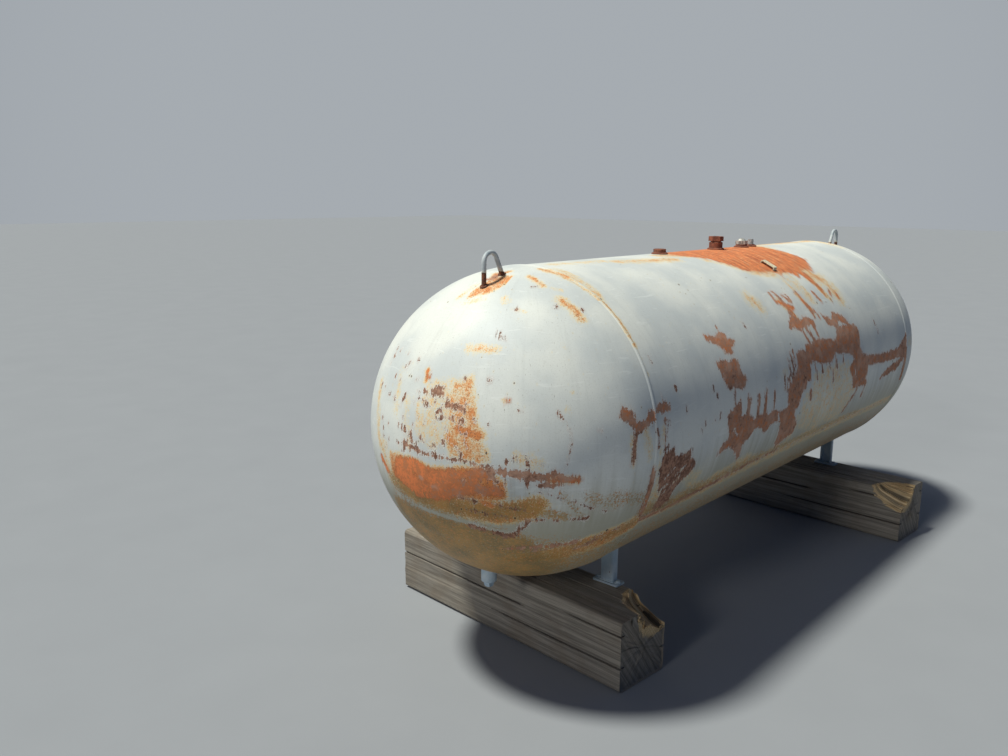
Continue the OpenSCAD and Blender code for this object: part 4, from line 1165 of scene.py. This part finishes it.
def leg_finish():
    look = Finish("blue_grey_paint", 0.5)
    chalk = look.noise(28, 4, 0.6)
    brush = look.noise(1.0, 3, 0.5, at=look.stretched((320, 320, 14)))
    chips = look.cells(60, at=look.stretched((1, 1, 0.5)))
    chipped = look.step(chips, 0.12, 0.06) * look.step(look.noise(14, 2), 0.5, 0.62)
    tint = look.mix(look.step(chalk, 0.35, 0.7), colour(158, 178, 192), colour(184, 196, 202))
    tint = look.mix(look.step(brush, 0.5, 0.75) * 0.35, tint, colour(140, 158, 172))
    tint = look.mix(chipped, tint, colour(116, 74, 56))
    return look.done(tint, look.step(chalk, 0.3, 0.7, 0.42, 0.62), brush * 0.3 + chipped * -0.6, depth=0.0006)


def fillet_bead(name, path, radius, closed, seed):
    """A hand-laid fillet weld: a rippled round bead along the path, half sunk in the joint."""
    chance = np.random.default_rng(seed)
    path = np.array(path)
    after = np.roll(path, -1, axis=0) if closed else np.concatenate([path[1:], path[-1:]])
    before = np.roll(path, 1, axis=0) if closed else np.concatenate([path[:1], path[:-1]])
    along = after - before
    along /= np.linalg.norm(along, axis=1)[:, None]
    up = np.tile([0.0, 0.0, 1.0], (len(path), 1))
    up[np.abs(along[:, 2]) > 0.9] = (1.0, 0.0, 0.0)
    sideways = np.cross(along, up)
    sideways /= np.linalg.norm(sideways, axis=1)[:, None]
    upward = np.cross(sideways, along)
    length = run_along(path)
    ripple = 0.10 * np.cos(2 * math.pi * length / 0.0042)
    size = radius * (1 + ripple + 0.06 * np.sin(length * 130 + chance.uniform(0, 6)))
    rows = [path + sideways * (size * math.cos(a))[:, None] + upward * (size * math.sin(a))[:, None]
            for a in np.linspace(0, 2 * math.pi, FILLET_SIDES, endpoint=False)]
    return bead_mesh(name, rows, closed)


def leg_outline(face_x, side_y, inward):
    """The channel's outer line in plan, from one flange's edge round the web to the other's."""
    half, bend = LEG_WIDTH / 2, LEG_BEND
    quarter = np.linspace(0, math.pi / 2, 8)[1:]
    plan = [(LEG_DEPTH - t, -half) for t in np.linspace(0, LEG_DEPTH - bend, 9)]
    plan += [(bend - bend * math.sin(a), -half + bend - bend * math.cos(a)) for a in quarter]
    plan += [(0, y) for y in np.linspace(-half + bend, half - bend, 18)[1:]]
    plan += [(bend - bend * math.cos(a), half - bend + bend * math.sin(a)) for a in quarter]
    plan += [(t, half) for t in np.linspace(bend, LEG_DEPTH, 9)[1:]]
    return [(face_x + inward * x, side_y + y) for x, y in plan]


def screw_ring(work, radius, z, hexagon):
    """A ring of corners of a screw, on a circle or along a hexagon's sides."""
    ring = []
    for i in range(SCREW_SIDES):
        a = 2 * math.pi * i / SCREW_SIDES
        flat = math.cos(math.pi / 6) / math.cos((a % (math.pi / 3)) - math.pi / 6) if hexagon else 1
        ring.append(work.verts.new((radius * flat * math.cos(a), radius * flat * math.sin(a), z)))
    return ring


def lag_screw(name, x, y, turned, material):
    """A hexagon lag screw head on its washer."""
    work = bmesh.new()
    rings = [screw_ring(work, radius, z, False) for radius, z in WASHER_RINGS]
    rings += [screw_ring(work, radius, z, True) for radius, z in HEXAGON_RINGS]
    for lower, upper in zip(rings, rings[1:]):
        for j in range(SCREW_SIDES):
            k = (j + 1) % SCREW_SIDES
            work.faces.new((lower[j], lower[k], upper[k], upper[j]))
    work.faces.new(rings[-1])
    work.faces.new(list(reversed(rings[0])))
    mesh = bpy.data.meshes.new(name)
    work.to_mesh(mesh)
    work.free()
    mesh.transform(Matrix.Translation((x, y, FOOT_TOP - SCREW_SUNK)) @ Matrix.Rotation(turned, 4, "Z"))
    finished(name, mesh, material, "leg_paint")


def dress_node(name, material):
    """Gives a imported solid, whose shape is right as it is, its finish."""
    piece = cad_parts[name]
    piece.data.materials.clear()
    piece.data.materials.append(material)


leg_paint = leg_finish()
screw_chance = np.random.default_rng(5)
for end_label, end in ENDS:
    for side_label, side in (("left", 1), ("right", -1)):
        place = end_label + "_" + side_label
        dress_node("leg_" + place, leg_paint)
        dress_node("foot_plate_" + place, leg_paint)
        outline = leg_outline(LEG_FACE[end], side * LEG_SIDE, -end)
        seat = [(x, y, AXIS_HEIGHT - math.sqrt(RADIUS ** 2 - y * y) - LEG_BEAD_SUNK) for x, y in outline]
        bead = fillet_bead("leg_bead_" + place, seat, LEG_BEAD, False, 20 + 2 * end + side)
        finished("leg_bead_" + place, bead, leg_paint, "leg_paint")
        toe = [(x, y, FOOT_TOP + FOOT_BEAD_LIFT) for x, y in outline]
        bead = fillet_bead("foot_bead_" + place, toe, FOOT_BEAD, False, 30 + 2 * end + side)
        finished("foot_bead_" + place, bead, leg_paint, "leg_paint")
        for number, reach in ((1, -SCREW_REACH), (2, SCREW_REACH)):
            screw_x, screw_y = LEG_FACE[end] - end * LEG_DEPTH / 2, side * LEG_SIDE + reach
            turned = screw_chance.uniform(0, 1)
            lag_screw("lag_screw_%s_%d" % (place, number), screw_x, screw_y, turned, leg_paint)


# The lifting lugs
# Round bar bent to an eye and welded by its two ends to the crown of each head, its outer leg plumb and
# its inner leg leaning. Painted a pale blue-grey; the welds and feet are dark with rust and with painted
# shade.
LUG_MIDDLE, LUG_BEND_HEIGHT, LUG_BEND, LUG_BAR = 1.205, 1.264, 0.027, 0.007
LUG_SPLAY = math.radians(27)
LUG_OFFSET = {-1: -0.015, 1: -0.039}
LUG_BEAD, LUG_BEAD_OUT, LUG_BEAD_LIFT = 0.0036, 0.0012, 0.0008
LUG_BEAD_STATIONS = 44


def lug_finish():
    look = Finish("rubbed_grey_paint", 0.5)
    chalk = look.noise(40, 4, 0.6)
    fine = look.noise(190, 4, 0.6)
    # below the bend the lug's feet go yellow and dark: stain and rust, and partly painted shade at the feet
    low = look.step(look.height() + chalk * 0.02, 1.258, 1.238)
    feet_rust_and_shade = look.step(low * 0.45 + chalk * 0.75, 0.62, 0.7)
    tint = look.mix(look.step(chalk, 0.35, 0.65), colour(188, 194, 196), colour(158, 168, 174))
    tint = look.mix(low * 0.45, tint, STAIN_YELLOW)
    rust = look.mix(look.step(fine, 0.4, 0.65), colour(78, 50, 42), colour(142, 88, 60))
    tint = look.mix(feet_rust_and_shade, tint, rust)
    return look.done(tint, look.step(feet_rust_and_shade, 0, 1, 0.5, 0.85), fine * 0.25 + feet_rust_and_shade * -0.4, depth=0.0008)


def bar_seat(side, top, heading, reach):
    """The ring where a straight round bar, run on from a point of its middle line, meets a head."""
    centre, level_side = Vector((side * HALF_COURSE, 0, AXIS_HEIGHT)), Vector((0, 1, 0))
    across = heading.cross(level_side).normalized()
    ring = []
    for a in np.linspace(0, 2 * math.pi, LUG_BEAD_STATIONS, endpoint=False):
        start = top + reach * (math.cos(a) * across + math.sin(a) * level_side)
        slope = (start - centre).dot(heading)
        run = -slope - math.sqrt(slope ** 2 - (start - centre).length_squared + RADIUS ** 2)
        ring.append(start + heading * (run - LUG_BEAD_LIFT))
    return ring


lug_paint = lug_finish()
for label, side in ENDS:
    dress_node("lifting_lug_" + label, lug_paint)
    outer_top = Vector((side * (LUG_MIDDLE + LUG_BEND), LUG_OFFSET[side], LUG_BEND_HEIGHT))
    inner_x = side * (LUG_MIDDLE - LUG_BEND * math.cos(LUG_SPLAY))
    inner_top = Vector((inner_x, LUG_OFFSET[side], LUG_BEND_HEIGHT + LUG_BEND * math.sin(LUG_SPLAY)))
    plumb = Vector((0, 0, -1))
    leaning = Vector((-side * math.sin(LUG_SPLAY), 0, -math.cos(LUG_SPLAY)))
    for foot, top, heading in (("outer", outer_top, plumb), ("inner", inner_top, leaning)):
        name = "lug_bead_%s_%s" % (label, foot)
        ring = bar_seat(side, top, heading, LUG_BAR + LUG_BEAD_OUT)
        finished(name, fillet_bead(name, ring, LUG_BEAD, True, 40), lug_paint, "lug_paint")


# The top couplings and the vent bushing
# Turned steel couplings let in to the shell with a fillet weld, and a hexagon bushing in the vent's.
# They were never painted well, and are rusted red all over.
# Name, x and outer radius of each coupling
COUPLINGS = [
    ("riser", -0.290, 0.0225),
    ("vent", 0.120, 0.026),
    ("filler", 0.335, 0.023),
    ("gauge", 0.415, 0.018),
]
COUPLING_BEAD, COUPLING_BEAD_OUT, COUPLING_BEAD_LIFT = 0.0048, 0.0018, 0.0012
COUPLING_BEAD_STATIONS = 120


def rusty_finish():
    look = Finish("red_rust", 0.88)
    patches = look.noise(45, 5, 0.65)
    grit = look.noise(320, 5, 0.7)
    tint = look.mix(look.step(patches, 0.35, 0.65), colour(104, 64, 52), colour(146, 90, 68))
    tint = look.mix(look.step(grit, 0.52, 0.72) * 0.5, tint, colour(176, 112, 80))
    tint = look.mix(look.step(grit, 0.45, 0.3) * 0.5, tint, colour(66, 42, 36))
    return look.done(tint, look.step(grit, 0.3, 0.7, 0.78, 0.95), grit + patches * 0.7, depth=0.0012)


red_rust = rusty_finish()
for label, x, radius in COUPLINGS:
    dress_node(label + "_coupling", red_rust)
    reach = radius + COUPLING_BEAD_OUT
    ring = []
    for a in np.linspace(0, 2 * math.pi, COUPLING_BEAD_STATIONS, endpoint=False):
        y = reach * math.sin(a)
        height = AXIS_HEIGHT + math.sqrt(RADIUS ** 2 - y * y) + COUPLING_BEAD_LIFT
        ring.append((x + reach * math.cos(a), y, height))
    name = label + "_bead"
    bead = fillet_bead(name, ring, COUPLING_BEAD, True, 50)
    finished(name, bead, red_rust, "rusted_steel", label + "_weld")
dress_node("vent_bushing", red_rust)


# The filler cap and the gauge plug
# Galvanised malleable fittings screwed in to the two smaller couplings, hardly rusted. The plug is a
# dull grey, and the cap carries the yellowed remains of the tank's white paint.


def zinc_finish(name, metallic, light, dark):
    look = Finish(name, 0.5, metallic)
    spangle = look.grey(look.cells(160, what="Color"))
    cloud = look.noise(70, 4, 0.6)
    tint = look.mix(look.step(spangle, 0.2, 0.8), dark, light)
    tint = look.mix(look.step(cloud, 0.5, 0.7) * 0.6, tint, light)
    tint = look.mix(look.step(look.noise(120, 5, 0.7), 0.62, 0.72) * 0.7, tint, colour(140, 96, 70))
    return look.done(tint, look.step(cloud, 0.3, 0.7, 0.42, 0.66), cloud, depth=0.0006)


dress_node("filler_cap", zinc_finish("dulled_cap", 0.3, colour(206, 204, 196), colour(150, 148, 142)))
dress_node("gauge_plug", zinc_finish("dull_zinc", 0.6, colour(202, 206, 204), colour(160, 166, 168)))


# The drain under the near head
# A steel coupling welded to the lowest part of the head and closed by a square-headed plug, brushed
# with the same blue-grey paint as the legs.
for name in ("drain_coupling", "drain_plug"):
    dress_node(name, leg_paint)


# The data plate's bracket
# A bent strip spot-welded to the camera's side of the top, its white paint yellowed and specked with
# rust, with two holes for a lost plate.


def bracket_finish():
    look = Finish("yellowed_paint", 0.5)
    cloud = look.noise(60, 4, 0.6)
    grit = look.noise(300, 4, 0.65)
    specks = look.step(grit + cloud * 0.4, 0.82, 0.88)
    tint = look.mix(look.step(cloud, 0.35, 0.65), colour(226, 218, 190), colour(198, 190, 162))
    tint = look.mix(specks * 0.8, tint, RUST_BROWN)
    return look.done(tint, look.step(cloud, 0.3, 0.7, 0.45, 0.7), grit + specks * -0.6, depth=0.0005)


dress_node("plate_bracket", bracket_finish())


# The two timber sleepers
# Sawn softwood, long weathered: grey and grooved along the grain, split by drying, rotted and broken
# away at one top corner, where the wood shows straw yellow. They lie loose under the foot plates.
TIMBER_WIDTH, TIMBER_HEIGHT, TIMBER_LENGTH = 0.220, 0.230, 1.020
TIMBER_EDGE = 0.016
TIMBER_TURN = math.radians(-4)
TIMBER_PLACES = [("near", -1, -0.9055, 0.105), ("far", 1, 0.8795, -0.105)]
TIMBER_STATIONS = 190
TIMBER_GRID = 0.0055
# Grooves between the grain's ridges: width, depth, and how long their wander along the timber is
GROOVES = [(0.013, 0.0011, 0.5), (0.007, 0.0008, 0.24), (0.03, 0.0016, 0.8)]
GROOVE_LEVELS = 400
# Drying splits: place across the face, start and end along the timber, all as shares, and relative depth
TOP_SPLITS = [
    (0.24, 0.00, 0.62, 0.8),
    (0.41, 0.30, 1.00, 1.0),
    (0.57, 0.00, 0.35, 0.6),
    (0.79, 0.46, 1.00, 0.7),
]
SIDE_SPLITS = [
    (0.35, 0.00, 0.55, 0.7),
    (0.62, 0.38, 1.00, 1.0),
    (0.80, 0.00, 0.24, 0.5),
]
SPLIT_MOUTH = 0.006
SPLIT_DEPTH = 0.038
SPLIT_TAPER = 0.08
SPLIT_CLEARING = 0.0062
SPLIT_GRID = (-0.0056, -0.0034, -0.0016, 0.0, 0.0016, 0.0034, 0.0056)
ROT_RADIUS = 0.150
# The end grain's rings, as shares of the section
END_RINGS = (0.965, 0.9, 0.8, 0.68, 0.55, 0.42, 0.3, 0.18, 0.08)


def wood_finish():
    look = Finish("weathered_wood", 0.85)
    grain_at = look.point(look.stored("across_grain"), look.stored("along_grain"))
    fibres = look.noise(1.0, 4, 0.65, at=look.stretched((420, 7, 1), grain_at))
    bands = look.noise(1.0, 4, 0.6, at=look.stretched((75, 2.2, 1), grain_at), warp=0.4)
    cloud = look.noise(9, 4, 0.6)
    tint = look.mix(look.step(bands, 0.35, 0.65), colour(112, 106, 97), colour(150, 143, 132))
    tint = look.mix(look.step(fibres, 0.48, 0.7) * 0.7, tint, colour(84, 74, 64))
    tint = look.mix(look.step(cloud, 0.45, 0.7) * 0.35, tint, colour(112, 96, 78))
    straw = look.mix(look.step(fibres, 0.35, 0.65), colour(224, 202, 160), colour(160, 126, 84))
    fresh = look.step(look.stored("broken") + (fibres - 0.5) * 0.7, 0.35, 0.65)
    tint = look.mix(fresh, tint, straw)
    # the drying splits and the deepest grooves are painted near black by their depth: painted shade inside
    # them
    tint = look.mix(look.step(look.stored("sunken"), 2.0, 12.0) * 0.8, tint, colour(44, 36, 30))
    return look.done(tint, None, fibres * 0.8 + bands * 0.5, depth=0.0025, strength=0.9)


def timber_outline():
    """The points (x, z) round the timber's section, closer together at the splits."""
    half, r = TIMBER_WIDTH / 2, TIMBER_EDGE
    marks = []

    def flat(start, end, along, splits):
        spots = set(np.round(np.linspace(r, along - r, int((along - 2 * r) / TIMBER_GRID)), 5))
        for share, *_ in splits:
            middle = share * along
            spots = {s for s in spots if abs(s - middle) > SPLIT_CLEARING}
            spots |= {middle + d for d in SPLIT_GRID}
        (x0, z0), (x1, z1) = start, end
        for s in sorted(spots):
            t = s / along
            marks.append((x0 + (x1 - x0) * t, z0 + (z1 - z0) * t))

    def corner(cx, cz, first):
        for a in np.linspace(first, first - math.pi / 2, 7)[1:-1]:
            marks.append((cx + r * math.cos(a), cz + r * math.sin(a)))

    mirrored = [(1 - s, a, b, d) for s, a, b, d in SIDE_SPLITS]
    flat((-half, 0), (-half, TIMBER_HEIGHT), TIMBER_HEIGHT, SIDE_SPLITS)
    corner(-half + r, TIMBER_HEIGHT - r, math.pi)
    flat((-half, TIMBER_HEIGHT), (half, TIMBER_HEIGHT), TIMBER_WIDTH, TOP_SPLITS)
    corner(half - r, TIMBER_HEIGHT - r, math.pi / 2)
    flat((half, TIMBER_HEIGHT), (half, 0), TIMBER_HEIGHT, mirrored)
    corner(half - r, r, 0)
    flat((half, 0), (-half, 0), TIMBER_WIDTH, [])
    corner(-half + r, r, -math.pi / 2)
    return np.array(marks)


def wandering(values, seed, sizes):
    """Smooth seeded wander along a line: a sum of a few waves of the given lengths."""
    chance = np.random.default_rng(seed)
    total = np.zeros_like(values)
    for size in sizes:
        total += np.sin(values * 2 * math.pi / size + chance.uniform(0, 6.28)) * chance.uniform(0.5, 1.0)
    return total / len(sizes)


def grain_grooves(stations, outline, end):
    """How deep the grooves between the grain's ridges are, for each station and point of the outline."""
    lengths = run_along(outline)
    grooves = np.zeros((len(stations), len(outline)))
    for layer, (width, depth, wave) in enumerate(GROOVES):
        drift = wandering(stations, 80 + layer + 10 * end, (wave, wave * 0.6, wave * 1.7)) * width * 0.8
        phase = (lengths[None, :] + drift[:, None]) / width
        whole = np.floor(phase).astype(int)
        levels = np.random.default_rng(90 + layer + 10 * end).uniform(0, 1, GROOVE_LEVELS)
        share = phase - whole
        share = share * share * (3 - 2 * share)
        lower, upper = levels[whole % GROOVE_LEVELS], levels[(whole + 1) % GROOVE_LEVELS]
        grooves += depth * (lower * (1 - share) + upper * share)
    return grooves


def with_splits(sunken, stations, outline):
    """Deepens the sunken grain where the top and the two upright sides have split in drying."""
    half = TIMBER_WIDTH / 2
    across, up = outline[:, 0], outline[:, 1]
    sides = [(up > TIMBER_HEIGHT - 0.001, across / TIMBER_WIDTH + 0.5, TOP_SPLITS, TIMBER_WIDTH)]
    for sign in (-1, 1):
        sides.append((across * sign > half - 0.001, up / TIMBER_HEIGHT, SIDE_SPLITS, TIMBER_HEIGHT))
    along = stations / TIMBER_LENGTH + 0.5
    for on_face, share, splits, size in sides:
        for number, (middle, start, stop, depth) in enumerate(splits):
            gap = np.abs(share - middle) * size
            opened = np.clip((along - start) / SPLIT_TAPER + (start <= 0) * 9, 0, 1)
            opened = opened * np.clip((stop - along) / SPLIT_TAPER + (stop >= 1) * 9, 0, 1)
            ragged = 1 + 0.25 * wandering(stations, 100 + number, (0.05, 0.11, 0.23))
            mouth = SPLIT_MOUTH * 0.55 * (0.55 + 0.45 * opened)
            reach = np.clip(1 - gap[None, :] / mouth[:, None], 0, 1) * (on_face[None, :])
            sunken = np.maximum(sunken, reach * (depth * SPLIT_DEPTH * opened * ragged)[:, None])
    return sunken


def weathered_surface(stations, outline, end):
    """The long faces of a timber, station after station, and how far each point has sunk."""
    edges = np.roll(outline, -1, axis=0) - np.roll(outline, 1, axis=0)
    normals = np.stack([-edges[:, 1], edges[:, 0]], axis=1)
    normals /= np.linalg.norm(normals, axis=1)[:, None]
    sunken = with_splits(grain_grooves(stations, outline, end), stations, outline)
    points = np.zeros((len(stations), len(outline), 3))
    points[:, :, 0] = outline[None, :, 0] - normals[None, :, 0] * sunken
    points[:, :, 2] = outline[None, :, 1] - normals[None, :, 1] * sunken
    points[:, :, 1] = stations[:, None]
    return points.reshape(-1, 3), sunken.reshape(-1)


def timber_piece(label, end, x, y, material):
    outline = timber_outline()
    low = -TIMBER_LENGTH / 2
    stations = np.linspace(low, -low, TIMBER_STATIONS)
    count, ring = len(stations), len(outline)
    flat, sunken = weathered_surface(stations, outline, end)
    chance = np.random.default_rng(120 + end)
    # the broken corner: fibres snapped at different lengths round a rotted hollow
    centre = np.array([-end * TIMBER_WIDTH / 2, low, TIMBER_HEIGHT + 0.45 * ROT_RADIUS])
    fibre = np.tile(chance.uniform(-1, 1, ring), count)
    away = flat - centre
    reach = np.linalg.norm(away, axis=1)
    uneven = 0.06 * fibre + 0.03 * np.sin(flat[:, 0] * 160) + 0.02 * np.sin(flat[:, 1] * 70)
    wanted = ROT_RADIUS * (1 + uneven)
    inside = reach < wanted
    flat[inside] = centre + away[inside] * (wanted[inside] / reach[inside])[:, None]
    broken = np.clip((ROT_RADIUS * 1.07 - reach) / 0.02, 0, 1)
    flat[:, 2] = np.clip(flat[:, 2], 0, TIMBER_HEIGHT)
    rings = [flat]
    # for each point: place across the grain, place along it, depth sunk in mm, and how freshly broken
    across = np.tile(np.arange(ring) * 0.0058, count)
    marks = [np.stack([across, np.repeat(stations, ring), sunken * 1000, broken], axis=1)]
    faces = tube_faces(count, ring)
    total = count * ring
    middle = np.array([0.0, 0.0, TIMBER_HEIGHT / 2])
    for first, end_y, inwards in ((0, low, 1), (total - ring, -low, -1)):
        previous = list(range(first, first + ring))
        base = flat[first:first + ring]
        for share in END_RINGS:
            layer = middle + (base - middle) * share
            layer[:, 1] = base[:, 1] * share + end_y * (1 - share)
            layer[:, 1] += inwards * (0.002 + 0.0035 * chance.uniform(0, 1, ring))
            current = list(range(total, total + ring))
            total += ring
            rings.append(layer)
            across = layer[:, 0] + layer[:, 2] * 0.7
            freshness = broken[first:first + ring] * share
            marks.append(np.stack([across, layer[:, 2] * 0.02, np.full(ring, 1.0), freshness], axis=1))
            faces += joined(previous, current)
            previous = current
        faces.append(tuple(previous))
    everything = np.concatenate(rings)
    everything[:, 1] = np.clip(everything[:, 1], low, -low)
    everything[:, 2] = np.clip(everything[:, 2], 0, TIMBER_HEIGHT)
    mesh = woven_mesh("sleeper_" + label, everything, faces)
    face_outwards(mesh)
    for name, values in zip(("across_grain", "along_grain", "sunken", "broken"), np.concatenate(marks).T):
        store(mesh, name, values)
    mesh.transform(Matrix.Translation((x, y, 0)) @ Matrix.Rotation(TIMBER_TURN, 4, "Z"))
    finished("sleeper_" + label, mesh, material, "sleeper_wood", "timber_" + label)


weathered_wood = wood_finish()
for label, end, x, y in TIMBER_PLACES:
    timber_piece(label, end, x, y, weathered_wood)


# The camera
# It stands at head height off the near head's right side and looks along the tank. Its place, turn and
# focal length come from fitting the tank's own outline in the photograph.
PHOTO_WIDTH = 1008
FOCAL_PIXELS = 887.35
SENSOR_MM = 36.0
CAMERA_PLACE = Vector((-3.063, -1.7209, 1.4551))
CAMERA_YAW, CAMERA_PITCH, CAMERA_ROLL = 0.8441, 0.2054, -0.0070


def photo_camera():
    ahead = Vector((math.sin(CAMERA_YAW) * math.cos(CAMERA_PITCH),
                    math.cos(CAMERA_YAW) * math.cos(CAMERA_PITCH),
                    -math.sin(CAMERA_PITCH)))
    level = Vector((math.cos(CAMERA_YAW), -math.sin(CAMERA_YAW), 0))
    below = ahead.cross(level)
    rightward = level * math.cos(CAMERA_ROLL) + below * math.sin(CAMERA_ROLL)
    downward = below * math.cos(CAMERA_ROLL) - level * math.sin(CAMERA_ROLL)
    lens = bpy.data.cameras.new("photo_camera")
    lens.sensor_fit = "HORIZONTAL"
    lens.sensor_width = SENSOR_MM
    lens.lens = FOCAL_PIXELS * SENSOR_MM / PHOTO_WIDTH
    camera = bpy.data.objects.new("photo_camera", lens)
    turn = Matrix((rightward, -downward, -ahead)).transposed().to_4x4()
    camera.matrix_world = Matrix.Translation(CAMERA_PLACE) @ turn
    bpy.context.collection.objects.link(camera)
    bpy.context.scene.camera = camera


photo_camera()


# The studio
# A plain pale floor, a wide key light high on the lit side, a weak low one from the same side, a dim
# cool fill, and a pale glow behind the tank.
KEY_FROM = Vector((-0.310, 0.235, 0.921))
LOW_FROM = Vector((-0.930, -0.050, 0.364))
GLOW_TOWARDS = (0.747, 0.664, 0.0)
FILL_COLOUR = (0.026, 0.050, 0.110, 1)
GLOW_COLOUR = (0.38, 0.41, 0.44, 1)
FLOOR_SIZE = 40


def studio_floor():
    mesh = bpy.data.meshes.new("studio_floor")
    work = bmesh.new()
    bmesh.ops.create_grid(work, x_segments=2, y_segments=2, size=FLOOR_SIZE)
    work.to_mesh(mesh)
    work.free()
    floor = bpy.data.objects.new("studio_floor", mesh)
    bpy.context.collection.objects.link(floor)
    look = Finish("pale_floor", 0.9)
    mesh.materials.append(look.done(look.mix(look.noise(3, 3), colour(134, 137, 142), colour(140, 143, 148))))


def studio_world():
    world = bpy.data.worlds.new("studio_world")
    world.use_nodes = True
    nodes, links = world.node_tree.nodes, world.node_tree.links
    towards = nodes.new("ShaderNodeVectorMath")
    towards.operation = "DOT_PRODUCT"
    towards.inputs[1].default_value = GLOW_TOWARDS
    links.new(nodes.new("ShaderNodeTexCoord").outputs["Generated"], towards.inputs[0])
    share = nodes.new("ShaderNodeMapRange")
    share.interpolation_type = "SMOOTHSTEP"
    for socket, value in zip(share.inputs[1:], (0.35, 0.95, 0.0, 1.0)):
        socket.default_value = value
    links.new(towards.outputs["Value"], share.inputs[0])
    blend = nodes.new("ShaderNodeMix")
    blend.data_type = "RGBA"
    blend.inputs[6].default_value = FILL_COLOUR
    blend.inputs[7].default_value = GLOW_COLOUR
    links.new(share.outputs[0], blend.inputs[0])
    links.new(blend.outputs[2], nodes["Background"].inputs["Color"])
    return world


def distant_light(name, origin, energy, width, tint):
    lamp = bpy.data.objects.new(name, bpy.data.lights.new(name, "SUN"))
    lamp.data.energy = energy
    lamp.data.angle = math.radians(width)
    lamp.data.color = tint
    lamp.rotation_euler = origin.to_track_quat("Z", "Y").to_euler()
    bpy.context.collection.objects.link(lamp)


studio_floor()
distant_light("key_light", KEY_FROM, 4.35, 8, (1.0, 1.0, 0.9))
distant_light("low_light", LOW_FROM, 0.55, 10, (1.0, 0.99, 0.95))
bpy.context.scene.world = studio_world()
bpy.context.scene.view_settings.view_transform = "Standard"
